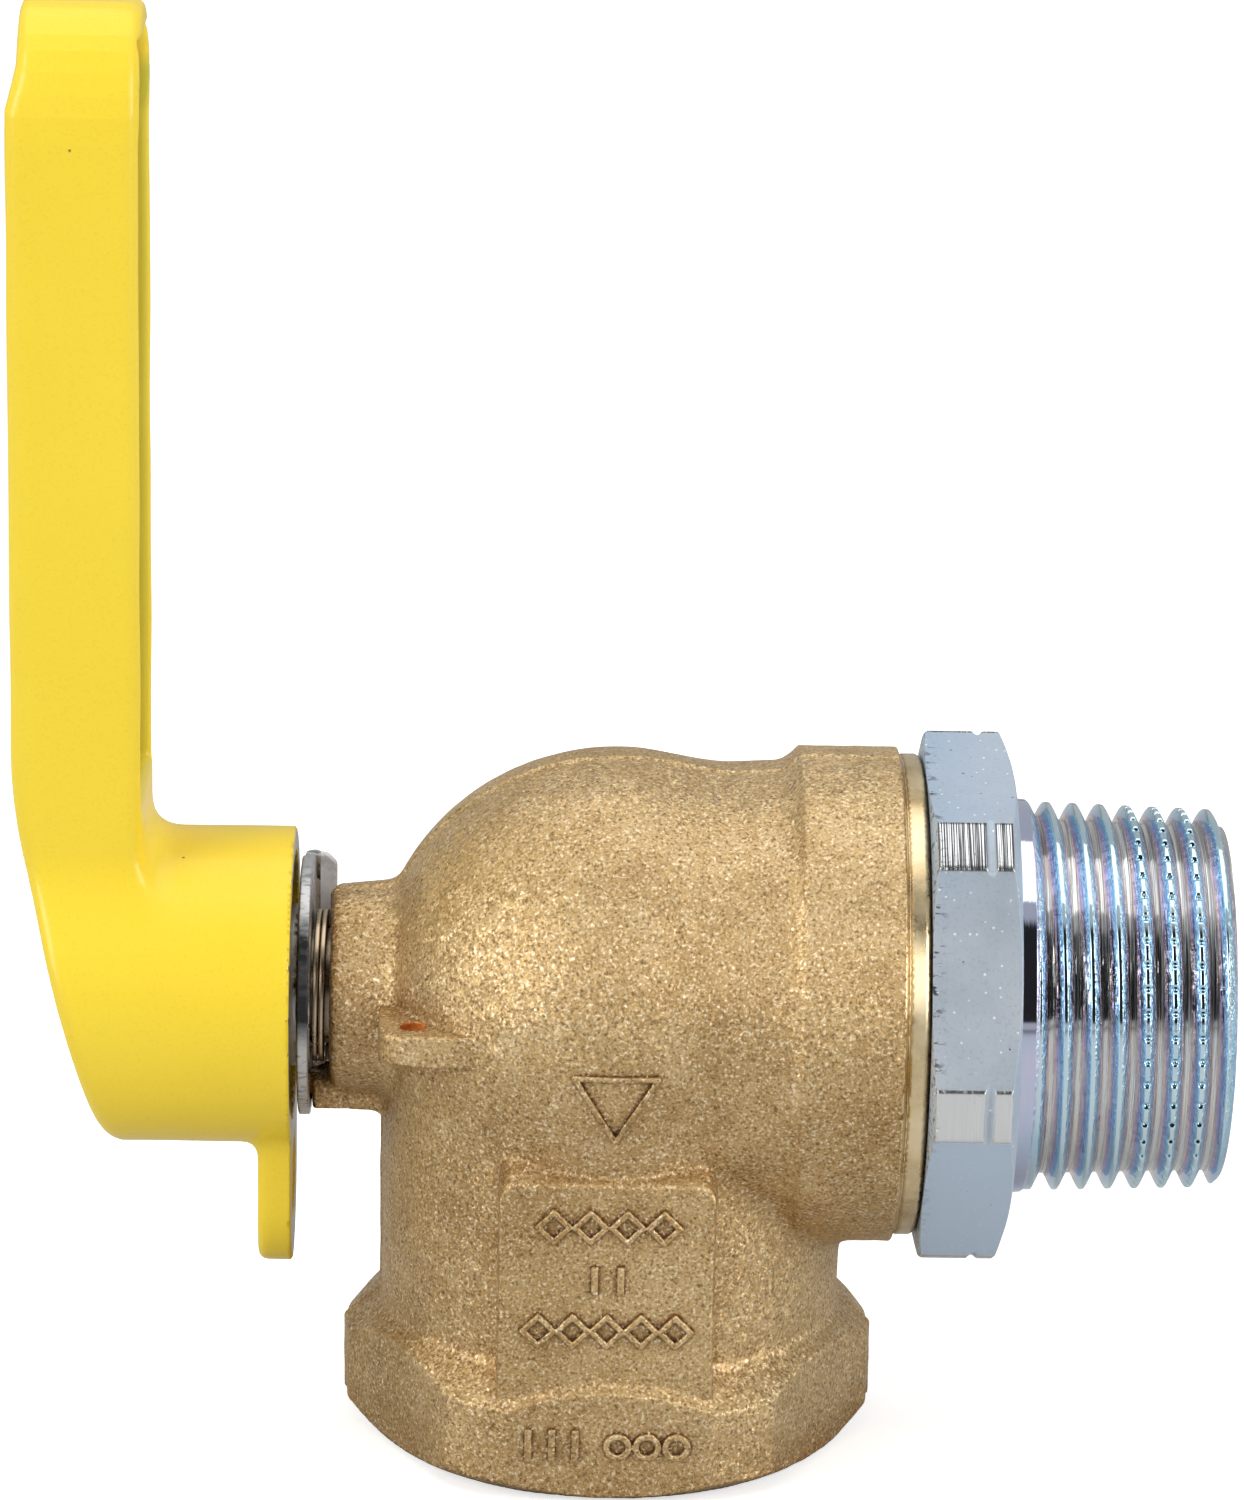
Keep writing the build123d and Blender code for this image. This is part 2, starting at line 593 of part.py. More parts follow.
with BuildPart() as handle:
    # hub barrel and, over it, the tapering blade
    with BuildSketch(Plane.YZ.offset(HUB_X)) as barrel:
        with Locations((0, AXIS_H)):
            Circle(HUB_R)
    extrude(amount=2 * BLADE_FACE_X - 2 * HUB_X)
    with BuildSketch(Plane.YZ.offset(BLADE_RIM_X)) as blade:
        with BuildLine():
            Polyline(
                (-BLADE_HALF, AXIS_H),
                (-BLADE_HALF, AXIS_H + TIP_START),
                (-TIP_HALF, AXIS_H + BLADE_TOP),
                (TIP_HALF, AXIS_H + BLADE_TOP),
                (BLADE_HALF, AXIS_H + TIP_START),
                (BLADE_HALF, AXIS_H),
                close=True,
            )
        make_face()
    extrude(amount=2 * BLADE_FACE_X - 2 * BLADE_RIM_X)
    add(blade_side.part, mode=Mode.INTERSECT)
    # lock tab
    with BuildSketch(Plane.YZ.offset(TAB_X)) as tab:
        with Locations((0, AXIS_H + TAB_END + TAB_HALF)):
            Circle(TAB_HALF)
        with Locations((0, AXIS_H + (TAB_END + TAB_HALF) / 2)):
            Rectangle(2 * TAB_HALF, -TAB_END - TAB_HALF)
    extrude(amount=HUB_X - TAB_X)
    # hollow hub round the drive boss, then the drive hole and the screw's pocket
    tube(HUB_FLOOR_X, HUB_X, HUB_BOSS_R, HUB_R - HUB_WALL, Mode.SUBTRACT)
    tube(HUB_X - 1, PLATE_X[0], 0, HUB_BOSS_R)
    drive_profile(PLATE_X[0], PLATE_X[0] - HUB_FLOOR_X, FIT, Mode.SUBTRACT)
    tube(2 * BLADE_FACE_X, HUB_FLOOR_X, 0, SCREW_POCKET_R, Mode.SUBTRACT)
    # channel in the inner side of the blade
    with BuildSketch(Plane.YZ.offset(BLADE_RIM_X)) as channel:
        with BuildLine():
            Polyline(
                (BLADE_WALL - BLADE_HALF, AXIS_H + CHANNEL_Z[0]),
                (BLADE_WALL - BLADE_HALF, AXIS_H + TIP_START),
                (BLADE_WALL - TIP_HALF - 0.8, AXIS_H + CHANNEL_Z[1]),
                (TIP_HALF + 0.8 - BLADE_WALL, AXIS_H + CHANNEL_Z[1]),
                (BLADE_HALF - BLADE_WALL, AXIS_H + TIP_START),
                (BLADE_HALF - BLADE_WALL, AXIS_H + CHANNEL_Z[0]),
                close=True,
            )
        make_face()
    extrude(amount=BLADE_WEB_X - BLADE_RIM_X, mode=Mode.SUBTRACT)
    # hole through the lock tab
    with BuildSketch(Plane.YZ.offset(TAB_X)) as tab_hole:
        with Locations((0, AXIS_H + TAB_HOLE_Z)):
            Circle(TAB_HOLE_R)
    extrude(amount=HUB_X - TAB_X, mode=Mode.SUBTRACT)
handle.part.label = "handle"

# ---- lever fastening --------------------------------------------------------------------------
LOCK_WASHER_X = HUB_FLOOR_X - WASHER_T
SCREW_HEAD_X = LOCK_WASHER_X - LOCK_WASHER_T

with BuildPart() as handle_washer:
    tube(HUB_FLOOR_X - WASHER_T, HUB_FLOOR_X, WASHER_R[0], WASHER_R[1])
handle_washer.part.label = "handle_washer"

with BuildPart() as handle_lock_washer:
    tube(LOCK_WASHER_X - LOCK_WASHER_T, LOCK_WASHER_X, LOCK_WASHER_R[0], LOCK_WASHER_R[1])
    with BuildSketch(Plane.XZ.offset(-LOCK_WASHER_SLIT)) as slit:
        with Locations((LOCK_WASHER_X - LOCK_WASHER_T / 2, AXIS_H + LOCK_WASHER_R[1])):
            Rectangle(2 * LOCK_WASHER_T, 2 * LOCK_WASHER_R[1])
    extrude(amount=LOCK_WASHER_SLIT, mode=Mode.SUBTRACT)
handle_lock_washer.part.label = "handle_lock_washer"

with BuildPart() as handle_screw:
    tube(SCREW_HEAD_X, SCREW_END_X - 0.2, 0, SCREW_R)
    turned(
        [
            (SCREW_HEAD_X, 0),
            (SCREW_HEAD_X, SCREW_HEAD_R),
            (SCREW_HEAD_X - SCREW_HEAD_L + 0.4, SCREW_HEAD_R),
            (SCREW_HEAD_X - SCREW_HEAD_L, SCREW_HEAD_R - 0.4),
            (SCREW_HEAD_X - SCREW_HEAD_L, 0),
        ]
    )
    with BuildSketch(Plane.YZ.offset(SCREW_HEAD_X - SCREW_HEAD_L)) as socket:
        with Locations((0, AXIS_H)):
            RegularPolygon(SCREW_SOCKET_AF / 2, 6, major_radius=False)
    extrude(amount=SCREW_SOCKET_D, mode=Mode.SUBTRACT)
handle_screw.part.label = "handle_screw"

# ---- one STEP file for each piece ---------------------------------------------------------------
PIECES = (
    valve_body,
    ball,
    inlet_seat,
    outlet_seat,
    back_seat,
    inlet_seat_ring,
    inlet_seat_o_ring,
    outlet_nipple,
    outlet_seat_o_ring,
    nipple_o_ring,
    stem,
    stem_thrust_washer,
    stem_o_ring_inner,
    stem_o_ring_outer,
    spring_washer,
    stop_plate,
    handle,
    handle_washer,
    handle_lock_washer,
    handle_screw,
)

os.makedirs("parts", exist_ok=True)
for piece in PIECES:
    export_step(piece.part, f"parts/{piece.part.label}.step")
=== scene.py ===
import json
import math

import bpy
import numpy as np
from mathutils import Matrix, Vector


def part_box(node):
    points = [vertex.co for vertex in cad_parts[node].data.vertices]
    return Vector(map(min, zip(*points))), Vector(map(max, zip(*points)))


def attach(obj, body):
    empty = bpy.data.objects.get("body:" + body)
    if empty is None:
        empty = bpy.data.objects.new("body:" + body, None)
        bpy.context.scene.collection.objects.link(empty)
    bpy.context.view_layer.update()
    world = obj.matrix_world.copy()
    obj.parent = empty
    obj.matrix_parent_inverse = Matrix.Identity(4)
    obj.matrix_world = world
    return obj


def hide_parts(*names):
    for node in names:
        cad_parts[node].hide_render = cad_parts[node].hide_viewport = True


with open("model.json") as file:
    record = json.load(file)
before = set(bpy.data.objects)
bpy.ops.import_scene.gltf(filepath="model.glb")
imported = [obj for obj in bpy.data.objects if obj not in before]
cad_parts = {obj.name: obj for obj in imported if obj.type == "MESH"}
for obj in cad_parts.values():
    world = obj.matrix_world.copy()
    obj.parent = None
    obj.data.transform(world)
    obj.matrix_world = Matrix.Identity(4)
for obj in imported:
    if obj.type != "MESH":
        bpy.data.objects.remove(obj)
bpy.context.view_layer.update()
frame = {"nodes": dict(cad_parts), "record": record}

MM = 0.001


def mm_box(node):
    lo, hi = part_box(node)
    return [v * 1000 for v in lo], [v * 1000 for v in hi]


AXIS = frame["record"]["behaviour"]["joints"][0]["pos_m"][2] * 1000
BODY_LO, BODY_HI = mm_box("valve_body")
NIP_HI = mm_box("outlet_nipple")[1]
LEVER_LO, LEVER_HI = mm_box("handle")
PLATE_LO, PLATE_HI = mm_box("stop_plate")
SPRING_LO, SPRING_HI = mm_box("spring_washer")
NECK_X = SPRING_HI[0] + 0.04  # the spring washer bears on the end of the neck
PITCH = 25.4 / 11  # pipe thread, 11 threads per inch
HEX0, HEX1 = BODY_HI[0], 33.8  # the nipple's hexagon along X
HEX_TURNED, HEX_FLAT = 22.8, 20.75  # its turned corner radius, and centre to flat
SPIGOT_X, PIPE_END = 35.5, NIP_HI[0]  # the nipple's thread along X
PIPE_CREST, THREAD_DEPTH, PIPE_TAPER = 16.86, 1.46, 1 / 32  # its crest radius, depth and taper
DRIVE_R, DRIVE_HALF = 5.05, 4.05  # the stem's flatted end in the lever and the stop plate


# ------------------------------------------------------------------ distance fields
def smin(a, b, k):
    """Joins two shapes with a fillet of about k."""
    h = np.clip(0.5 + 0.5 * (b - a) / k, 0.0, 1.0)
    return b + (a - b) * h - k * h * (1.0 - h)


def smax(a, b, k):
    """Keeps what two shapes share, its edge rounded by about k."""
    return -smin(-a, -b, k)


def polygon(px, py, pts):
    """Exact signed distance to a closed polygon, negative inside."""
    d = np.full(px.shape, 1e9, np.float32)
    sign = np.ones(px.shape, np.float32)
    for i, (ax, ay) in enumerate(pts):
        bx, by = pts[i - 1]
        ex, ey = bx - ax, by - ay
        wx, wy = px - ax, py - ay
        t = np.clip((wx * ex + wy * ey) / (ex * ex + ey * ey), 0.0, 1.0)
        d = np.minimum(d, (wx - ex * t) ** 2 + (wy - ey * t) ** 2)
        above, below, left = py >= ay, py < by, ex * wy > ey * wx
        sign = np.where((above & below & left) | ~(above | below | left), -sign, sign)
    return sign * np.sqrt(d)


def rbox(px, py, pz, lo, hi, r):
    """Box with rounded edges."""
    q = [np.abs(p - (a + b) / 2) - ((b - a) / 2 - r) for p, a, b in zip((px, py, pz), lo, hi)]
    out = np.sqrt(sum(np.maximum(v, 0) ** 2 for v in q))
    return out + np.minimum(np.maximum(np.maximum(q[0], q[1]), q[2]), 0) - r


def waves(x, y, z, size, seed, count=10):
    """Soft deterministic unevenness, about -1 to 1."""
    rng = np.random.default_rng(seed)
    total = np.zeros_like(x)
    for _ in range(count):
        v = rng.normal(size=3)
        v *= (2 * math.pi / size) * rng.uniform(0.6, 1.6) / np.linalg.norm(v)
        total += np.sin(x * v[0] + y * v[1] + z * v[2] + rng.uniform(0, 6.28))
    return total / math.sqrt(count)


def make_mesh(name, verts, quads, normals=None, mats=(), mat_index=None):
    me = bpy.data.meshes.new(name)
    me.vertices.add(len(verts))
    me.vertices.foreach_set("co", (np.asarray(verts, np.float32) * MM).ravel())
    quads = np.asarray(quads, np.int32)
    n = len(quads)
    me.loops.add(n * 4)
    me.loops.foreach_set("vertex_index", quads.ravel())
    me.polygons.add(n)
    me.polygons.foreach_set("loop_start", np.arange(0, n * 4, 4, dtype=np.int32))
    me.polygons.foreach_set("use_smooth", np.ones(n, bool))
    me.update(calc_edges=True)
    me.validate()
    for m in mats:
        me.materials.append(m)
    if mat_index is not None:
        me.polygons.foreach_set("material_index", np.asarray(mat_index, np.int32))
    if normals is not None:
        me.normals_split_custom_set_from_vertices(np.asarray(normals, np.float32))
    ob = bpy.data.objects.new(name, me)
    bpy.context.scene.collection.objects.link(ob)
    return ob


def solid(name, field, lo, hi, step, mats, pick=None, relax=2):
    """Meshes the surface where field is zero: surface nets, then each vertex is walked onto it."""
    lo = np.array(lo, float) - 2.2 * step
    hi = np.array(hi, float) + 2.2 * step
    n = np.ceil((hi - lo) / step).astype(int) + 1
    ax = [(lo[i] + step * np.arange(n[i])).astype(np.float32) for i in range(3)]
    # a coarse pass finds the blocks near the surface
    c = 4
    cax = [a[::c] for a in ax]
    gx, gy, gz = np.meshgrid(*cax, indexing="ij")
    coarse = field(gx.ravel(), gy.ravel(), gz.ravel()).reshape(gx.shape)
    full = np.repeat(np.repeat(np.repeat(coarse, c, 0), c, 1), c, 2)[: n[0], : n[1], : n[2]]
    full = np.ascontiguousarray(full)
    near = np.abs(full) < step * c * 1.9
    idx = np.nonzero(near)
    full[idx] = field(ax[0][idx[0]], ax[1][idx[1]], ax[2][idx[2]])
    F = full
    S = F < 0
    nx, ny, nz = F.shape
    corner = [(i, j, k) for i in (0, 1) for j in (0, 1) for k in (0, 1)]
    view = {q: (slice(q[0], nx - 1 + q[0]), slice(q[1], ny - 1 + q[1]), slice(q[2], nz - 1 + q[2]))
            for q in corner}
    total = sum(S[view[q]].astype(np.int8) for q in corner)
    active = (total > 0) & (total < 8)
    ci, cj, ck = np.nonzero(active)
    cell = np.full(active.shape, -1, np.int32)
    cell[ci, cj, ck] = np.arange(len(ci))
    acc = np.zeros((len(ci), 3))
    cnt = np.zeros(len(ci))
    for a in range(3):
        for q in corner:
            if q[a]:
                continue
            r = list(q)
            r[a] = 1
            f0 = F[ci + q[0], cj + q[1], ck + q[2]]
            f1 = F[ci + r[0], cj + r[1], ck + r[2]]
            hit = (f0 < 0) != (f1 < 0)
            t = np.where(hit, f0 / np.where(hit, f0 - f1, 1), 0)
            for b in range(3):
                acc[:, b] += np.where(hit, t if b == a else q[b], 0)
            cnt += hit
    verts = lo + step * (np.stack([ci, cj, ck], 1) + acc / cnt[:, None])
    quads = []
    for a in range(3):
        b, c2 = (a + 1) % 3, (a + 2) % 3
        s0 = [slice(1, -1)] * 3
        s1 = [slice(1, -1)] * 3
        s0[a] = slice(0, -1)
        s1[a] = slice(1, None)
        A, B = S[tuple(s0)], S[tuple(s1)]
        for flip, mask in ((False, A & ~B), (True, ~A & B)):
            e = list(np.nonzero(mask))
            base = [e[d] + (0 if d == a else 1) for d in range(3)]
            ring = []
            for ob_, oc in ((0, 0), (-1, 0), (-1, -1), (0, -1)):
                p = list(base)
                p[b] = p[b] + ob_
                p[c2] = p[c2] + oc
                ring.append(cell[p[0], p[1], p[2]])
            ring = np.stack(ring, 1)
            quads.append(ring[:, ::-1] if flip else ring)
    quads = np.concatenate(quads)
    quads = quads[(quads >= 0).all(1)]

    def grad(v, e=0.03):
        g = np.zeros_like(v)
        for a in range(3):
            d = np.zeros(3)
            d[a] = e
            p, m = (v + d).astype(np.float32), (v - d).astype(np.float32)
            g[:, a] = (field(*p.T) - field(*m.T)) / (2 * e)
        return g

    def walk(v, times):
        for _ in range(times):
            f = field(*v.astype(np.float32).T)
            g = grad(v)
            move = -f[:, None] * g / np.maximum((g * g).sum(1), 0.05)[:, None]
            size = np.linalg.norm(move, axis=1)
            move *= np.minimum(1, 0.5 * step / np.maximum(size, 1e-9))[:, None]
            v = v + move
        return v

    def smooth(v):
        s = np.zeros_like(v)
        w = np.zeros(len(v))
        for i in range(4):
            a, b = quads[:, i], quads[:, (i + 1) % 4]
            for u, t in ((a, b), (b, a)):
                w += np.bincount(u, minlength=len(v))
                for d in range(3):
                    s[:, d] += np.bincount(u, weights=v[t, d], minlength=len(v))
        return 0.4 * v + 0.6 * s / w[:, None]

    verts = walk(verts, 3)
    for _ in range(relax):
        verts = walk(smooth(verts), 2)
    g = grad(verts)
    normals = g / np.maximum(np.linalg.norm(g, axis=1), 1e-9)[:, None]
    index = None
    if pick is not None:
        index = pick(*verts[quads].mean(1).T)
    return make_mesh(name, verts, quads, normals, mats, index)


def loft(name, rings, mats, index=None, closed=True):
    """Quads over a grid of rings (n, m, 3). Rings join round, and the last joins the first."""
    rings = np.asarray(rings, float)
    n, m, _ = rings.shape
    i = np.arange(n if closed else n - 1)[:, None]
    j = np.arange(m)[None, :]
    a = i * m + j
    b = ((i + 1) % n) * m + j
    c = ((i + 1) % n) * m + (j + 1) % m
    d = i * m + (j + 1) % m
    quads = np.stack([a, b, c, d], -1).reshape(-1, 4)
    mat_index = None if index is None else np.repeat(np.asarray(index), m)[: len(quads)]
    return make_mesh(name, rings.reshape(-1, 3), quads, None, mats, mat_index)


def resample(points, step):
    """Points along a polyline no further apart than step, corners kept."""
    out = []
    for (x0, r0, s0), (x1, r1, _) in zip(points, points[1:]):
        size = math.hypot(x1 - x0, r1 - r0)
        count = max(1, int(math.ceil(size / (step if s0 is None else s0))))
        for t in range(count):
            out.append((x0 + (x1 - x0) * t / count, r0 + (r1 - r0) * t / count))
    return np.array(out)


# ------------------------------------------------------------------ materials
class Tree:
    """Small helper round a material's node tree."""

    def __init__(self, name):
        self.m = bpy.data.materials.new(name)
        self.m.use_nodes = True
        self.t = self.m.node_tree
        self.t.nodes.clear()
        self.out = self.t.nodes.new("ShaderNodeOutputMaterial")
        self.b = self.t.nodes.new("ShaderNodeBsdfPrincipled")
        self.t.links.new(self.b.outputs[0], self.out.inputs[0])
        self.co = self.t.nodes.new("ShaderNodeTexCoord").outputs["Object"]

    def link(self, a, b):
        self.t.links.new(a, b)

    def put(self, socket, value):
        if hasattr(value, "is_output"):
            self.link(value, socket)
        else:
            socket.default_value = value

    def set(self, **kw):
        names = {"base": "Base Color", "metal": "Metallic", "rough": "Roughness", "coat": "Coat Weight",
                 "coat_rough": "Coat Roughness", "spec": "Specular IOR Level", "normal": "Normal",
                 "sss": "Subsurface Weight"}
        for k, v in kw.items():
            self.put(self.b.inputs[names[k]], v)
        return self

    def node(self, kind, **kw):
        n = self.t.nodes.new(kind)
        ins = kw.pop("ins", {})
        for k, v in kw.items():
            setattr(n, k, v)
        for k, v in ins.items():
            self.put(n.inputs[k], v)
        return n

    def mapped(self, scale=(1, 1, 1), rot=(0, 0, 0)):
        n = self.node("ShaderNodeMapping", ins={"Vector": self.co, "Scale": scale, "Rotation": rot})
        return n.outputs[0]

    def noise(self, scale, detail=3.0, rough=0.55, vec=None, dist=0.0):
        n = self.node("ShaderNodeTexNoise", ins={"Vector": vec or self.co, "Scale": scale, "Detail": detail,
                                                 "Roughness": rough, "Distortion": dist})
        return n.outputs["Fac"]

    def streaks(self, scale, detail=3.0, rough=0.6):
        """Noise stretched along the axes where the scale is small."""
        return self.noise(1.0, detail, rough, self.mapped(scale))

    def cells(self, scale):
        """Scattered cells: distance from a cell's centre, and its random colour."""
        n = self.node("ShaderNodeTexVoronoi", ins={"Vector": self.co, "Scale": scale})
        return n.outputs["Distance"], n.outputs["Color"]

    def parts(self, vector):
        """The three parts of a vector or colour."""
        return self.node("ShaderNodeSeparateXYZ", ins={0: vector}).outputs

    def facing(self, which):
        """How far the surface looks along X (0) or up Z (2), from -1 to 1."""
        return self.parts(self.node("ShaderNodeNewGeometry").outputs["Normal"])[which]

    def ramp(self, fac, stops):
        n = self.node("ShaderNodeValToRGB", ins={"Fac": fac})
        e = n.color_ramp.elements
        while len(e) < len(stops):
            e.new(0.5)
        for el, (p, c) in zip(e, stops):
            el.position = p
            el.color = (c, c, c, 1) if isinstance(c, (int, float)) else (*c, 1)
        return n.outputs["Color"]

    def math(self, op, a, b=0.0):
        return self.node("ShaderNodeMath", operation=op, ins={0: a, 1: b}).outputs[0]

    def range(self, v, a, b, c=0.0, d=1.0):
        """Carries v from the span a to b onto the span c to d, and holds it there."""
        n = self.node("ShaderNodeMapRange", ins={"Value": v, "From Min": a, "From Max": b,
                                                 "To Min": c, "To Max": d})
        return n.outputs[0]

    def mix(self, fac, a, b):
        """Blends colour a into colour b."""
        n = self.node("ShaderNodeMix", data_type="RGBA", clamp_factor=True)
        self.put(n.inputs[0], fac)
        self.put(n.inputs[6], a if hasattr(a, "is_output") else (*a, 1))
        self.put(n.inputs[7], b if hasattr(b, "is_output") else (*b, 1))
        return n.outputs[2]

    def bump(self, height, distance, strength=1.0, normal=None):
        n = self.node("ShaderNodeBump", ins={"Height": height, "Distance": distance, "Strength": strength})
        if normal is not None:
            self.link(normal, n.inputs["Normal"])
        return n.outputs[0]

    def facets(self, scale, amount):
        """Normal tilted at random from one grain to the next, as a blasted surface sparkles."""
        grains = self.cells(scale)[1]
        tilt = self.node("ShaderNodeVectorMath", operation="SUBTRACT", ins={0: grains, 1: (0.5, 0.5, 0.5)})
        tilt = self.node("ShaderNodeVectorMath", operation="SCALE",
                         ins={0: tilt.outputs[0], "Scale": amount})
        flat = self.node("ShaderNodeNewGeometry").outputs["Normal"]
        both = self.node("ShaderNodeVectorMath", operation="ADD", ins={0: flat, 1: tilt.outputs[0]})
        return self.node("ShaderNodeVectorMath", operation="NORMALIZE", ins={0: both.outputs[0]}).outputs[0]

    def axis(self, which):
        return self.parts(self.co)[which]

    def radius(self):
        """Distance from the outlet axis, in metres."""
        a = self.axis("Y")
        b = self.math("SUBTRACT", self.axis("Z"), AXIS * MM)
        return self.math("SQRT", self.math("ADD", self.math("MULTIPLY", a, a), self.math("MULTIPLY", b, b)))


def cavity(t, size, samples=8):
    """0 in a crevice, 1 in the open."""
    n = t.node("ShaderNodeAmbientOcclusion", samples=samples, ins={"Distance": size})
    return n.outputs["AO"]


def brass_cast():
    """Sand-blasted forging: dense sparkling grain with painted glints, brown stain in the corners, painted
    shade in the finest creases.
    """
    t = Tree("brass_blasted")
    grain = t.noise(3800, 2.0, 0.6, dist=0.5)
    mid = t.noise(300, 4.0, 0.6)
    broad = t.noise(42, 3.0, 0.5)
    base = t.ramp(broad, [(0.32, (0.45, 0.285, 0.115)), (0.5, (0.57, 0.385, 0.170)),
                          (0.68, (0.64, 0.455, 0.225))])
    base = t.mix(t.range(mid, 0.52, 0.70, 0.0, 0.38), base, (0.76, 0.575, 0.33))
    base = t.mix(t.range(mid, 0.48, 0.34, 0.0, 0.26), base, (0.32, 0.195, 0.08))
    stained = t.noise(75, 3.0, 0.6)
    near = t.math("MULTIPLY", t.range(cavity(t, 0.006), 0.95, 0.6), t.range(stained, 0.35, 0.6))
    base = t.mix(t.math("MULTIPLY", near, 0.8), base, (0.38, 0.185, 0.045))
    # painted shade: the finest creases and the outlines of the marks are painted dark brown
    crease_shade = cavity(t, 0.0011)
    base = t.mix(t.range(crease_shade, 0.86, 0.5, 0.0, 0.9), base, (0.14, 0.07, 0.025))
    base = t.mix(t.range(grain, 0.46, 0.33, 0.0, 0.75), base, (0.13, 0.075, 0.03))
    # painted glints: the brightest grains are painted near-white
    base = t.mix(t.range(grain, 0.56, 0.68, 0.0, 0.75), base, (1.0, 0.89, 0.66))
    normal = t.bump(mid, 0.00010, 0.4, t.facets(3600, 0.42))
    normal = t.bump(grain, 0.00006, 0.9, normal)
    t.set(base=base, metal=0.72, rough=t.range(grain, 0.3, 0.7, 0.52, 0.38), normal=normal)
    return t.m


def hole_stain():
    t = Tree("brass_stain")
    fine = t.noise(900, 3.0, 0.6)
    base = t.ramp(fine, [(0.3, (0.30, 0.075, 0.012)), (0.55, (0.62, 0.19, 0.03)),
                         (0.75, (0.85, 0.40, 0.12))])
    t.set(base=base, metal=0.3, rough=t.range(fine, 0.3, 0.7, 0.3, 0.5), normal=t.bump(fine, 0.0001, 0.8))
    return t.m


def brass_turned():
    t = Tree("brass_turned")
    lines = t.streaks((9000, 60, 60), 4.0, 0.7)
    spots = t.noise(260, 4.0, 0.6)
    edge = t.range(t.axis("X"), (HEX0 - 0.9) * MM, (HEX0 - 0.1) * MM)
    nicks = t.math("MULTIPLY", edge, t.streaks((900, 420, 420)))
    base = t.ramp(spots, [(0.3, (0.62, 0.46, 0.24)), (0.55, (0.86, 0.70, 0.43)), (0.8, (0.95, 0.82, 0.58))])
    base = t.mix(t.range(nicks, 0.5, 0.6, 0.0, 0.9), base, (0.08, 0.045, 0.018))
    # painted shade: creases and gaps are painted dark brown
    base = t.mix(t.range(cavity(t, 0.0012), 0.8, 0.2, 0.0, 0.7), base, (0.30, 0.17, 0.05))
    normal = t.bump(nicks, 0.00008, 0.5, t.bump(lines, 0.000025, 0.8))
    t.set(base=base, metal=1.0, rough=t.range(spots, 0.3, 0.7, 0.2, 0.38), normal=normal)
    return t.m


def zinc_hex():
    """Milled flats: pale, satin, with tiny bright specks painted in as glints, and painted bluer and
    lighter where they look down. Turned corners: mirror-like fine lines, their dark painted strongest where
    the corners look upwards.
    """
    t = Tree("zinc_flats")
    turned = t.range(t.radius(), (HEX_TURNED - 0.16) * MM, (HEX_TURNED - 0.10) * MM)
    up = t.facing(2)
    cloud = t.noise(85, 4.0, 0.6)
    fine = t.noise(3200, 3.0, 0.6)
    base = t.ramp(cloud, [(0.3, (0.44, 0.51, 0.58)), (0.5, (0.54, 0.605, 0.68)),
                          (0.72, (0.64, 0.68, 0.72))])
    base = t.mix(t.range(t.noise(40, 2.0, 0.5), 0.48, 0.64, 0.0, 0.8), base, (0.40, 0.53, 0.70))
    base = t.mix(t.range(fine, 0.45, 0.33, 0.0, 0.25), base, (0.26, 0.29, 0.32))
    # a few cells hold a bright speck, painted in as a glint; fewer a dark pit
    near, colour = t.cells(1500)
    pick = t.parts(colour)
    ragged = t.math("ADD", near, t.math("MULTIPLY", fine, 0.3))
    speck = t.math("MULTIPLY", t.range(ragged, 0.36, 0.26), t.range(pick[0], 0.66, 0.70))
    base = t.mix(speck, base, (1.0, 1.0, 1.0))
    pit = t.math("MULTIPLY", t.range(near, 0.22, 0.1), t.range(pick[1], 0.05, 0.03))
    base = t.mix(pit, base, (0.05, 0.055, 0.06))
    # nicks along the edge that faces the body
    edge = t.range(t.axis("X"), (HEX0 + 1.3) * MM, (HEX0 + 0.1) * MM)
    nick = t.math("MULTIPLY", edge, t.range(t.streaks((1000, 2300, 2300)), 0.56, 0.64))
    base = t.mix(nick, base, (0.04, 0.04, 0.045))
    # painted reflection: the flats that look down are painted bluer and lighter, as the floor's light falls
    # on them
    base = t.mix(t.range(up, -0.2, -0.5, 0.0, 0.8), base, (0.56, 0.70, 0.86))
    # turning lines on the corners; their dark is a painted reflection, painted strongest on the corners
    # that look upwards
    lines = t.streaks((11000, 40, 90), 2.0, 0.8)
    chatter = t.math("MULTIPLY", t.range(lines, 0.56, 0.49), t.range(up, 0.2, 0.7, 0.08, 0.95))
    base = t.mix(turned, base, t.mix(chatter, (0.84, 0.86, 0.87), (0.03, 0.03, 0.035)))
    rough = t.range(turned, 0.0, 1.0, 0.42, 0.2)
    height = t.math("SUBTRACT", t.math("MULTIPLY", fine, 0.35), t.math("ADD", nick, pit))
    normal = t.bump(height, 0.00005, 1.0)
    normal = t.bump(t.math("MULTIPLY", lines, turned), 0.00003, 1.0, normal)
    t.set(base=base, metal=t.range(turned, 0.0, 1.0, 0.25, 0.9), rough=rough, normal=normal)
    return t.m


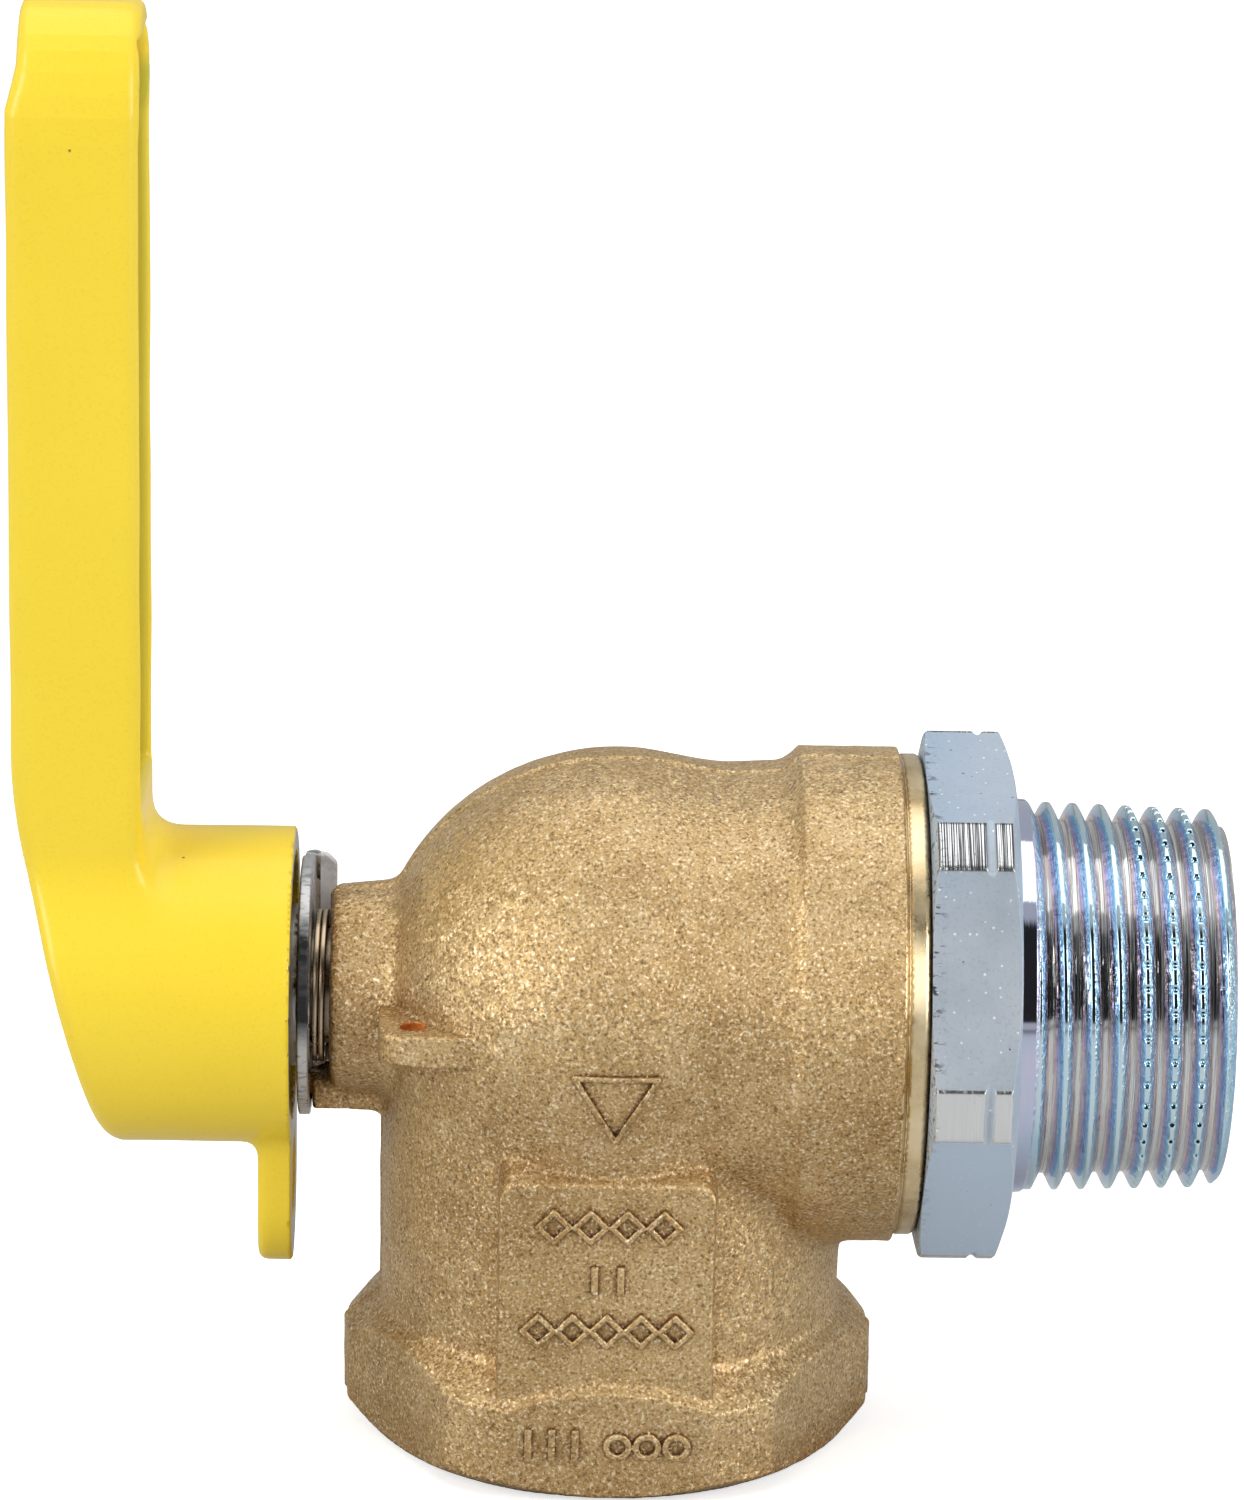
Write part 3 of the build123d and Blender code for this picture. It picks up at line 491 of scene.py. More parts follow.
def zinc_thread():
    """Mirror-bright cut thread with passivation colours from root to crest, and painted dark reflections in
    the roots.
    """
    t = Tree("zinc_thread")
    x = t.axis("X")
    end_crest = PIPE_CREST - (PIPE_END - SPIGOT_X) * PIPE_TAPER
    crest = t.range(x, SPIGOT_X * MM, PIPE_END * MM, PIPE_CREST * MM, end_crest * MM)
    depth = t.range(t.math("SUBTRACT", crest, t.radius()), 0.0, THREAD_DEPTH * MM)
    drift = t.math("MULTIPLY", t.math("SUBTRACT", t.noise(170, 2.0, 0.5), 0.5), 0.45)
    base = t.ramp(t.math("ADD", depth, drift), [
        (0.0, (0.72, 0.90, 0.97)), (0.2, (0.48, 0.75, 0.90)), (0.42, (0.38, 0.60, 0.84)),
        (0.6, (0.55, 0.57, 0.82)), (0.75, (0.80, 0.68, 0.76)), (0.9, (0.86, 0.82, 0.74)),
        (1.0, (0.82, 0.84, 0.84))])
    spigot = t.range(x, (SPIGOT_X + 0.15) * MM, (SPIGOT_X - 0.15) * MM)
    tint = t.ramp(t.noise(120, 2.0, 0.5), [(0.35, (0.60, 0.70, 0.90)), (0.6, (0.76, 0.70, 0.88))])
    base = t.mix(spigot, base, tint)
    # cutting lines in the roots, some satin; their near-black streaks are a painted dark reflection,
    # stronger where the root looks upwards
    root = t.range(depth, 0.55, 0.85)
    lines = t.streaks((3900, 14, 14), 2.0, 0.7)
    streak = t.math("MULTIPLY", t.range(t.streaks((6500, 30, 30), 2.0, 0.8), 0.53, 0.46), root)
    streak = t.math("MULTIPLY", streak, t.range(t.facing(2), 0.1, 0.25, 0.1, 0.5))
    base = t.mix(streak, base, (0.05, 0.05, 0.06))
    satin = t.range(t.streaks((5200, 25, 25), 2.0, 0.8), 0.55, 0.60, 0.0, 0.34)
    # metal torn on the flanks that face the open end
    flank = t.math("MULTIPLY", t.range(t.facing(0), 0.25, 0.55), t.range(depth, 0.9, 0.7))
    torn = t.math("MULTIPLY", t.range(t.streaks((3000, 1300, 1300), 3.0, 0.65), 0.44, 0.62), flank)
    cut = t.math("MULTIPLY", lines, t.math("ADD", t.math("MULTIPLY", root, 0.9), 0.1))
    normal = t.bump(cut, 0.00017, 1.0)
    normal = t.bump(torn, 0.00010, 1.0, normal)
    rough = t.math("ADD", t.range(torn, 0.0, 1.0, 0.06, 0.2), t.math("MULTIPLY", satin, root))
    t.set(base=base, metal=1.0, rough=rough, normal=normal)
    return t.m


def powder_coat():
    t = Tree("powder_coat_yellow")
    peel = t.noise(420, 2.0, 0.5)
    fine = t.noise(1500, 2.0, 0.5)
    broad = t.noise(38, 2.0, 0.5)
    base = t.ramp(broad, [(0.3, (0.93, 0.675, 0.034)), (0.7, (0.955, 0.71, 0.045))])
    base = t.mix(t.range(t.noise(4200, 2.0, 0.5), 0.45, 0.3, 0.0, 0.12), base, (0.52, 0.37, 0.015))
    near, colour = t.cells(330)
    pit = t.math("MULTIPLY", t.range(near, 0.055, 0.025), t.range(t.parts(colour)[0], 0.74, 0.76))
    base = t.mix(pit, base, (0.22, 0.13, 0.02))
    # painted shade: the channel behind the grip is painted a duller, greener yellow, as it lies in shade
    channel_shade = t.math("MULTIPLY", t.range(t.math("ABSOLUTE", t.axis("Y")), 7.2 * MM, 6.7 * MM),
                     t.range(t.axis("X"), -48.9 * MM, -48.2 * MM))
    channel_shade = t.math("MULTIPLY", channel_shade, t.range(t.axis("Z"), (AXIS + 17.5) * MM, (AXIS + 19) * MM))
    channel_shade = t.math("MULTIPLY", channel_shade, t.range(t.axis("Z"), (AXIS + 80.3) * MM, (AXIS + 78.5) * MM))
    base = t.mix(channel_shade, base, (0.60, 0.53, 0.032))
    height = t.math("ADD", t.math("MULTIPLY", peel, 0.6), t.math("MULTIPLY", fine, 0.12))
    normal = t.bump(height, 0.00005, 0.45)
    normal = t.bump(pit, 0.00006, -1.0, normal)
    t.set(base=base, metal=0.0, rough=t.range(fine, 0.3, 0.7, 0.3, 0.38), coat=0.22, coat_rough=0.09,
          normal=normal, spec=0.3)
    return t.m


def raw_casting():
    t = Tree("raw_aluminium")
    lines = t.noise(1.0, 4.0, 0.7, t.mapped((60, 900, 2600), (0.5, 0, 0)))
    spots = t.noise(300, 4.0, 0.6)
    base = t.ramp(spots, [(0.3, (0.30, 0.29, 0.27)), (0.6, (0.58, 0.57, 0.54)), (0.8, (0.74, 0.73, 0.70))])
    rough = t.range(spots, 0.3, 0.7, 0.3, 0.5)
    t.set(base=base, metal=1.0, rough=rough, normal=t.bump(lines, 0.00004, 0.8))
    return t.m


def steel(name, tint, rough, metal=1.0):
    t = Tree(name)
    spots = t.noise(420, 4.0, 0.65)
    lines = t.streaks((5200, 260, 260), 4.0, 0.7)
    dark = tuple(c * 0.45 for c in tint)
    base = t.ramp(spots, [(0.28, dark), (0.5, tint), (0.8, tuple(min(1, c * 1.18) for c in tint))])
    # painted shade: crevices and gaps are painted dark brown
    base = t.mix(t.range(cavity(t, 0.0012), 0.7, 0.2, 0.0, 0.7), base, (0.09, 0.06, 0.04))
    t.set(base=base, metal=metal, rough=t.range(spots, 0.3, 0.7, rough, rough + 0.18),
          normal=t.bump(lines, 0.000012, 0.7))
    return t.m


def sheared_edge():
    """Torn rim of the pressed plate, with a painted reflection: near-black across a band just above the
    axis, bright above and below it.
    """
    t = Tree("plate_sheared_edge")
    across = t.streaks((900, 2600, 2600), 3.0, 0.7)
    height = t.math("ADD", t.axis("Z"), t.math("MULTIPLY", across, 0.0016))
    # painted reflection: the rim is painted bright above and below the band and near-black across it
    upper = t.range(height, (AXIS + 7.6) * MM, (AXIS + 10.4) * MM)
    lower = t.range(height, (AXIS + 1.4) * MM, (AXIS - 1.2) * MM)
    base = t.mix(t.math("MAXIMUM", upper, lower), (0.035, 0.035, 0.035), (0.62, 0.62, 0.63))
    base = t.mix(t.range(across, 0.5, 0.35, 0.0, 0.6), base, (0.05, 0.05, 0.05))
    rough = t.range(across, 0.3, 0.7, 0.28, 0.45)
    t.set(base=base, metal=0.85, rough=rough, normal=t.bump(across, 0.00003, 0.8))
    return t.m


def ptfe():
    t = Tree("seat_white")
    fine = t.noise(900, 3.0, 0.5)
    base = t.ramp(t.noise(80, 2.0, 0.5), [(0.3, (0.80, 0.80, 0.76)), (0.7, (0.90, 0.90, 0.88))])
    t.set(base=base, rough=t.range(fine, 0.3, 0.7, 0.38, 0.5), sss=0.1, normal=t.bump(fine, 0.00002, 0.5))
    return t.m


def rubber():
    t = Tree("seal_rubber")
    fine = t.noise(1200, 3.0, 0.6)
    base = t.ramp(t.noise(150, 2.0, 0.5), [(0.3, (0.012, 0.012, 0.013)), (0.7, (0.03, 0.03, 0.032))])
    t.set(base=base, rough=t.range(fine, 0.3, 0.7, 0.45, 0.62), normal=t.bump(fine, 0.00002, 0.5))
    return t.m


def chrome_ball():
    t = Tree("ball_chrome")
    swirl = t.noise(90, 4.0, 0.6, dist=1.2)
    base = t.ramp(swirl, [(0.3, (0.66, 0.67, 0.69)), (0.7, (0.80, 0.81, 0.83))])
    lines = t.streaks((300, 300, 4200), 3.0, 0.7)
    rough = t.range(swirl, 0.3, 0.7, 0.06, 0.13)
    t.set(base=base, metal=1.0, rough=rough, normal=t.bump(lines, 0.00001, 0.5))
    return t.m


CAST = brass_cast()
STAIN = hole_stain()
TURNED = brass_turned()
FLATS = zinc_hex()
THREAD = zinc_thread()
YELLOW = powder_coat()
RAW = raw_casting()
PLATE = steel("plate_steel", (0.54, 0.54, 0.55), 0.2, 0.85)
SHEARED = sheared_edge()
# painted light: the pressed tab is a pale, nearly non-metal copy of the plate steel, so it reads as lit
TAB_PAINTED_LIGHT = steel("plate_tab_painted_light", (0.82, 0.83, 0.88), 0.5, 0.1)
SPRING = steel("spring_steel", (0.62, 0.49, 0.34), 0.2)
SCREW = steel("screw_zinc", (0.62, 0.65, 0.68), 0.2)
STEM = steel("stem_steel", (0.60, 0.52, 0.38), 0.2)
SEAT = ptfe()
SEAL = rubber()
CHROME = chrome_ball()

for node, mat in {
    "ball": CHROME, "inlet_seat": SEAT, "outlet_seat": SEAT, "back_seat": SEAT, "inlet_seat_ring": TURNED,
    "inlet_seat_o_ring": SEAL, "outlet_seat_o_ring": SEAL, "nipple_o_ring": SEAL, "stem": STEM,
    "stem_thrust_washer": SEAT, "stem_o_ring_inner": SEAL, "stem_o_ring_outer": SEAL,
    "spring_washer": SPRING, "stop_plate": PLATE, "handle": YELLOW, "handle_washer": SCREW,
    "handle_lock_washer": SCREW, "handle_screw": SCREW, "valve_body": CAST, "outlet_nipple": FLATS,
}.items():
    ob = frame["nodes"][node]
    if ob.data.materials:
        for s in range(len(ob.data.materials)):
            ob.material_slots[s].link = "OBJECT"
            ob.material_slots[s].material = mat
    else:
        ob.data.materials.append(mat)

# ------------------------------------------------------------------ forged body
# heights here are measured from the outlet axis
DOME_R, RUN_R, RISER_R, BOSS_R, TURNED_R = 21.0, 19.8, 19.9, 21.4, 20.8
BOSS_X0, BOSS_X1, END_X = 15.6, 24.0, BODY_HI[0]
NECK_R, NECK_TAPER = 9.1, 0.1
COLLAR_R, COLLAR_HALF, COLLAR_FOOT_R = 22.9, 21.2, 20.9
PANEL_X, PANEL_HALF, PANEL_TOP, PANEL_FACE, PANEL_CORNER = -0.5, 9.1, -10.3, -20.5, 1.6
EAR_LEFT, EAR_FACE, EAR_LOW, EAR_TOP, EAR_CORNER = -20.05, -17.35, -1.2, 1.5, 3.0
EAR_HOLE, EAR_HOLE_R = (-17.1, -14.3), 1.05
LUG_HALF, LUG_LOW = 3.0, -10.6
CHAMBER_R, OUTLET_R, OUTLET_X = 17.2, 18.4, 16.4
INLET_CREST, INLET_DEPTH, INLET_RELIEF, INLET_TOP = 15.15, 1.45, 16.9, 14.8
ARROW = [(-3.5, -0.6), (3.5, -0.6), (0.0, -6.4)]
DIAMONDS = [(-5.0 + 3.1 * i, -14.0) for i in range(4)] + [(-6.2 + 2.9 * i, -23.4) for i in range(5)]
BARS = [(-1.5, -18.8, 1.3), (0.7, -18.8, 1.3)] + [(-6.9 + 2.0 * i, -33.6, 1.5) for i in range(3)]
RINGS = [(0.7 + 2.5 * i, -33.6) for i in range(3)]


def elbow_part(x, y, z, rx, rz):
    """Dome, run and riser. The run widens a little to an oval, and the riser's joint is sharp in front."""
    dome = np.sqrt(x * x + y * y + z * z) - DOME_R
    ease = np.clip(x / 13.0, 0, 1)
    oval = 1 - 0.062 * ease * ease * (3 - 2 * ease)
    run = np.maximum(np.sqrt((y * oval) ** 2 + z * z) - RUN_R, -x)
    riser = np.maximum(rz - RISER_R, z)
    facing = y * y / np.maximum(rx * rz, 1.0)
    blend = 0.15 + 4.6 * np.clip(1 - facing, 0, 1) ** 1.4
    return smin(smin(run, riser, blend), dome, 1.3)


def lug_part(x, y, z):
    """Stop lug under the neck, with the block that carries its nose."""
    lug = rbox(x, y, z, (PLATE_HI[0] + 1.0, -LUG_HALF, LUG_LOW), (-9, LUG_HALF, -5.0), 0.7)
    block = rbox(x, y, z, (-26.0, 0.1 - LUG_HALF, LUG_LOW + 0.1), (-20, LUG_HALF - 0.1, -7.7), 0.35)
    return np.minimum(lug, block)


def collar_part(x, y, z, rz):
    """Hexagon with turned corners under a 45 degree shoulder."""
    hexagon = np.abs(y)
    for a in (60, 120):
        c, s = math.cos(math.radians(a)), math.sin(math.radians(a))
        hexagon = np.maximum(hexagon, np.abs(y * c + x * s))
    lathe = polygon(rz, z + AXIS, [
        (0, -3), (COLLAR_FOOT_R, -3), (COLLAR_FOOT_R, -0.1), (COLLAR_R, 1.25), (COLLAR_R, 7.9),
        (RISER_R - 0.3, 11.0), (0, 11.0)])
    return smax(hexagon - COLLAR_HALF, lathe, 0.15)


def panel_part(x, y, z):
    """Raised panel with rounded corners and a sloping top edge."""
    top = z - PANEL_TOP - 0.6 * (y - PANEL_FACE)
    across = np.abs(x - PANEL_X) - PANEL_HALF + PANEL_CORNER
    along = np.maximum(top, -34 - z) + PANEL_CORNER
    outline = np.hypot(np.maximum(across, 0), np.maximum(along, 0))
    outline = outline + np.minimum(np.maximum(across, along), 0) - PANEL_CORNER
    return smax(outline, np.maximum(PANEL_FACE - y, y + 8), 0.35)


def ear_part(x, y, z):
    """Flat ear for the seal wire, rounded about its hole."""
    corner = np.sqrt((x - EAR_HOLE[0]) ** 2 + (y - EAR_HOLE[1]) ** 2) - EAR_CORNER
    slab = np.maximum(np.maximum(EAR_LEFT - x, EAR_FACE - y), np.maximum(x + 4, y - 0.5))
    out = np.where((x < EAR_HOLE[0]) & (y < EAR_HOLE[1]), corner, slab)
    return smax(out, np.maximum(z - EAR_TOP, EAR_LOW - z), 0.3)


def body_cast(x, y, z):
    """The forging before machining."""
    z = z - AXIS
    rx = np.sqrt(y * y + z * z)
    rz = np.sqrt(x * x + y * y)
    f = elbow_part(x, y, z, rx, rz)
    boss = polygon(x, rx, [(0, 0), (END_X + 3, 0), (END_X + 3, BOSS_R), (BOSS_X0, BOSS_R),
                           (BOSS_X0 - 1.7, RUN_R - 0.1), (0, RUN_R - 2)])
    f = smin(f, boss, 1.0)
    neck = rx - (NECK_R + NECK_TAPER * np.clip(x + 21, -3, 6))
    f = smin(f, smax(neck, np.maximum(NECK_X - x, x + 6), 0.9), 0.9)
    f = smin(f, lug_part(x, y, z), 1.6)
    f = smin(f, collar_part(x, y, z, rz), 0.45)
    f = smin(f, panel_part(x, y, z), 0.3)
    f = smin(f, ear_part(x, y, z), 0.35)
    # forging unevenness and the trimmed parting line in the plane of the two axes
    f = f + 0.04 * waves(x, y, z, 9.0, 3) + 0.014 * waves(x, y, z, 2.6, 5)
    return f - 0.2 * np.exp(-(y / 0.4) ** 2) * (z > -38)


def marks_field(x, y, z):
    """Generic raised marks: an arrow outline, diamonds and bars on the panel, bars and rings below."""
    skin = body_cast(x, y, z)
    z = z - AXIS
    marks = np.abs(polygon(x, z, ARROW)) - 0.24
    for cx, cz in DIAMONDS:
        marks = np.minimum(marks, np.abs(np.abs(x - cx) + np.abs(z - cz) - 1.3) * 0.707 - 0.26)
    for cx, cz, half in BARS:
        marks = np.minimum(marks, np.maximum(np.abs(x - cx) - 0.32, np.abs(z - cz) - half))
    for cx, cz in RINGS:
        marks = np.minimum(marks, np.abs(np.hypot(x - cx, z - cz) - 0.95) - 0.28)
    return smax(smax(marks, skin - 0.42, 0.2), -skin - 0.5, 0.05)


def body_machined(x, y, z):
    """What machining leaves on the outside: the turned ring and the two end faces."""
    rx = np.sqrt(y * y + (z - AXIS) ** 2)
    keep = polygon(x, rx, [
        (-60, -5), (-60, 60), (BOSS_X1, 60), (BOSS_X1, BOSS_R + 0.05),
        (BOSS_X1 + 0.3, TURNED_R - 0.2), (BOSS_X1 + 0.5, TURNED_R),
        (END_X - 0.55, TURNED_R), (END_X - 0.3, TURNED_R - 0.15),
        (END_X - 0.12, TURNED_R - 0.5), (END_X, TURNED_R - 0.8), (END_X, -5)])
    return np.maximum(keep, -z)


def body_bores(x, y, z):
    """The ball's chamber, the outlet and stem bores, and the threaded inlet."""
    zc = z - AXIS
    rx = np.sqrt(y * y + zc * zc)
    rz = np.sqrt(x * x + y * y)
    ball = np.sqrt(x * x + y * y + zc * zc) - CHAMBER_R
    chamber = np.minimum(ball, np.maximum(rx - CHAMBER_R, -x))
    outlet = np.maximum(rx - OUTLET_R, OUTLET_X - x)
    stem = polygon(x, rx, [
        (0, -9), (NECK_X - 9, -9), (NECK_X - 9, 5.75), (NECK_X, 5.55), (NECK_X + 0.5, 5.05),
        (-19.0, 5.05), (-19.0, 7.55), (-15.4, 7.55), (-15.4, 11.3), (0, 11.3)])
    turn = (z / PITCH - np.arctan2(y, x) / (2 * math.pi)) % 1.0
    tooth = np.clip((np.minimum(turn, 1 - turn) * PITCH - 0.2) / (PITCH / 2 - 0.4), 0, 1)
    radius = INLET_CREST + INLET_DEPTH * (tooth - np.sin(2 * math.pi * tooth) * 0.04)
    radius = np.maximum(radius, 17.0 - z * 1.05)
    radius = np.where(z > 16.6, np.where(z > 18.2, INLET_TOP, INLET_RELIEF), radius)
    inlet = np.maximum((rz - radius) * 0.55, zc)
    return np.minimum(np.minimum(chamber, outlet), np.minimum(stem, inlet))


def body_field(x, y, z):
    """The machined body, with the nose on its lug and the wire hole in its ear."""
    f = np.maximum(body_cast(x, y, z), body_machined(x, y, z))
    nose = rbox(x, y, z - AXIS, (PLATE_LO[0] - 0.05, -1.5, -9.6), (-24, 1.5, -7.6), 0.12)
    f = np.minimum(f, nose)
    f = np.maximum(f, -body_bores(x, y, z))
    hole = np.hypot(x - EAR_HOLE[0], y - EAR_HOLE[1]) - EAR_HOLE_R
    return np.maximum(f, -np.maximum(hole, np.abs(z - AXIS) - 4))


def body_pick(x, y, z):
    """0 where the forging's own skin shows, 1 where a tool has been, 2 inside the wire hole."""
    tooled = (body_machined(x, y, z) > -0.06) | (body_cast(x, y, z) < -0.25)
    wire = (np.hypot(x - EAR_HOLE[0], y - EAR_HOLE[1]) < EAR_HOLE_R + 0.07) & (np.abs(z - AXIS) < 1.45)
    return np.where(wire, 2, np.where(tooled, 1, 0))


body = solid("body_forging", body_field, BODY_LO, BODY_HI, 0.28, [CAST, TURNED, STAIN], body_pick)
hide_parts("valve_body")
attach(body, "casing")
marks = solid("body_raised_marks", marks_field, (-8.5, -22.6, 2.5), (8.5, -18.5, AXIS), 0.13, [CAST])
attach(marks, "casing")

# ------------------------------------------------------------------ outlet nipple
HEX_ANGLE = math.radians(37.5)
DIMPLE_STEP, DIMPLE_DEPTH = math.radians(7.2), 0.42
DIMPLES_FROM, DIMPLES_TO = 3.0, 6.3  # counted in thread turns from the shoulder


def nipple_outline():
    """Half section: along the outside, then back through the bore. Third value: spacing of points."""
    t = HEX_TURNED
    points = resample([
        (15.05, 12.65, None), (15.05, 17.1, None), (16.45, 17.1, None), (16.45, 18.35, None),
        (23.9, 18.35, None), (23.9, 17.2, None), (25.5, 17.2, None), (25.5, 18.35, None),
        (HEX0, 18.35, 0.3), (HEX0, 20.7, 0.08), (HEX0 + 0.4, t - 0.15, 0.05), (HEX0 + 0.6, t, 0.08),
        (30.6, t, 0.06), (30.7, t - 0.1, 0.05), (30.9, t - 0.27, 0.05), (31.1, t - 0.33, 0.05),
        (31.3, t - 0.27, 0.05), (31.5, t - 0.1, 0.05), (31.6, t, 0.08), (HEX1 - 1.0, t, 0.06),
        (HEX1 - 0.8, t - 0.15, 0.06), (HEX1 - 0.1, 20.6, 0.08), (HEX1, 20.2, 0.3), (HEX1, 17.25, 0.08),
        (HEX1 + 0.15, 17.1, 0.1), (SPIGOT_X - 0.25, 17.0, 0.08), (SPIGOT_X, 16.8, 0.07),
        (PIPE_END - 1.35, 16.8, 0.07), (PIPE_END - 0.15, 15.75, 0.07), (PIPE_END, 15.55, 0.12),
        (PIPE_END, 12.85, 0.1), (PIPE_END - 0.35, 12.5, 0.6), (23.0, 12.5, 0.6), (19.2, 9.6, 0.6),
        (17.6, 9.6, 0.6), (16.3, 9.6, 0.6), (16.3, 12.65, 0.6), (15.05, 12.65, None)], 0.7)
    return points


def hexagon_radius(phi):
    """Distance from the axis out to the hexagon's flats."""
    radius = np.full(len(phi), 1e9)
    for i in range(6):
        c = np.cos(phi - HEX_ANGLE - i * math.pi / 3)
        radius = np.minimum(radius, np.where(c > 0.3, HEX_FLAT / np.maximum(c, 0.3), 1e9))
    return radius


def thread_radius(x, phi):
    """Right-hand thread on a 1:16 taper, with pressed dimples along the last crests."""
    along = np.clip(x, SPIGOT_X, PIPE_END) - SPIGOT_X
    row = along / PITCH - phi / (2 * math.pi)
    off = np.abs(row % 1.0 - 0.5) * PITCH
    tooth = np.clip((off - 0.16) / (PITCH / 2 - 0.34), 0, 1)
    tooth = tooth - np.sin(2 * math.pi * tooth) * 0.035
    runout = np.clip((along + 0.1) / 0.9, 0, 1)
    radius = PIPE_CREST - along * PIPE_TAPER - THREAD_DEPTH * tooth * runout
    across = (phi / DIMPLE_STEP + 0.5) % 1.0 - 0.5
    dimple = np.exp(-(across / 0.1) ** 2) * np.exp(-((off - 0.03) / 0.22) ** 2)
    return radius - DIMPLE_DEPTH * dimple * (row > DIMPLES_FROM) * (row < DIMPLES_TO)


def nipple_mesh():
    outline = nipple_outline()
    x, r = outline[:, 0], outline[:, 1]
    phi = np.linspace(0, 2 * math.pi, 900, endpoint=False)
    xs = x[:, None] + 0 * phi
    rs = r[:, None] + 0 * phi
    on_hex = (x > HEX0 - 1e-6) & (x < HEX1 + 1e-6) & (r > 18.4)
    rs[on_hex] = np.minimum(rs[on_hex], hexagon_radius(phi))
    cut = (x >= SPIGOT_X - 1e-6) & (r > 14.5)
    rs[cut] = np.minimum(rs[cut], thread_radius(xs, phi)[cut])
    rings = np.stack([xs, rs * np.cos(phi), AXIS + rs * np.sin(phi)], -1)
    dark = (x >= HEX1 - 1e-6) | (x < HEX0 - 1e-6) | (r < 17.3)
    return loft("nipple_turned", rings[::-1], [FLATS, THREAD], np.where(dark, 1, 0)[::-1])


nipple = nipple_mesh()
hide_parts("outlet_nipple")
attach(nipple, "casing")

# ------------------------------------------------------------------ lever
HUB_R, HUB_X, FACE_X, RIM_X = 13.7, -27.65, LEVER_LO[0], -40.3
TOP, FOOT = LEVER_HI[2] - AXIS, LEVER_LO[2] - AXIS
BEND_R, BEND_Z, LEAN = 45, 23.0, 15  # the outer face bends inwards over this many degrees
TIP_HALF, TIP_Z = 8.5, 75.5  # the tip is half an ellipse
TAB_R = 6.8
BEND = [(FACE_X, BEND_Z)]
for a in range(3, LEAN + 1, 3):
    c, s = math.cos(math.radians(a)), math.sin(math.radians(a))
    BEND.append((FACE_X + BEND_R * (1 - c), BEND_Z - BEND_R * s))
HEEL_X = BEND[-1][0] + (BEND[-1][1] + HUB_R) * math.tan(math.radians(LEAN))
TIP = [(FACE_X + 0.9, TOP), (FACE_X + 0.85, 81.2), (FACE_X + 0.45, 79.4), (FACE_X, 77.6)]
SIDE = TIP + BEND + [(HEEL_X, -HUB_R - 0.02), (-20, -HUB_R - 0.02), (-20, 40), (-20, TOP)]
END = [(TIP_HALF, 0)]
for a in range(0, 90, 10):
    c, s = math.cos(math.radians(a)), math.sin(math.radians(a))
    END.append((TIP_HALF * c, TIP_Z + (TOP - TIP_Z) * s))
PLAN = END + [(-y, z) for y, z in reversed(END)]
TROUGH = [(-6.6, 18.6), (-6.6, 75.0), (-5.9, 78.6), (-4.6, 82.6)]
TROUGH = TROUGH + [(-y, z) for y, z in reversed(TROUGH)]


def lever_field(x, y, z):
    """Blade and hub with the lock tab, hollowed from the body's side, drilled for stem and screw."""
    z = z - AXIS
    rx = np.sqrt(y * y + z * z)
    blade = smax(polygon(y, z, PLAN), x - RIM_X, 1.6)
    f = smax(smin(blade, rx - HUB_R, 3.0), polygon(x, z, SIDE), 1.6)
    tab = np.where(z < FOOT + TAB_R, np.hypot(y, z - FOOT - TAB_R), np.abs(y)) - TAB_R
    tab = smax(tab, np.maximum(-30.6 - x, np.maximum(x + 20, z + 8)), 1.0)
    f = smin(f, tab, 1.4)
    f = f + 0.035 * waves(x, y, z, 14.0, 8)
    trough = smax(polygon(y, z, TROUGH) - 0.2, -48.4 - x, 2.2)
    f = smax(f, -trough, 1.0)
    pocket = smax(np.abs(rx - 9.25) - 2.25, -37.5 - x, 0.8)
    f = smax(f, -pocket, 0.7)
    head = smax(rx - 6.3, np.maximum(x + 37.5, -80 - x), 0.3)
    f = smax(f, -head, 0.9)
    f = np.maximum(f, np.maximum(x - HUB_X, FACE_X - x))
    boss = smax(rx - 7.0, np.maximum(-38 - x, x - PLATE_LO[0]), 0.3)
    f = np.minimum(f, boss)
    drive = np.maximum(rx - DRIVE_R, np.abs(z) - DRIVE_HALF)
    f = np.maximum(f, -np.maximum(drive, -37.8 - x))
    hole = smax(np.hypot(y, z + 17.6) - 3.6, -40 - x, 0.1)
    return smax(f, -hole, 0.5)


def lever_pick(x, y, z):
    """0 where powder coated, 1 on the bare face towards the body and in the drive hole."""
    raw = x > HUB_X - 0.04
    drive = (np.hypot(y, z - AXIS) < 7.1) & (x > -37.7)
    return np.where(raw | drive, 1, 0)


lever = solid("lever_casting", lever_field, LEVER_LO, LEVER_HI, 0.42, [YELLOW, RAW], lever_pick)
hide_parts("handle")
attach(lever, "spindle")


# ------------------------------------------------------------------ stop plate
PLATE_X0, PLATE_R, PLATE_THICK = PLATE_LO[0], 11.2, 1.0
TAB_Y, TAB_TOP, TAB_BEND = 9.85, 9.0, 1.1
SLOT_R, SLOT_HALF, SLOT_FROM, SLOT_TO = 8.625, 1.325, -190.8, -79.2  # the last two in degrees


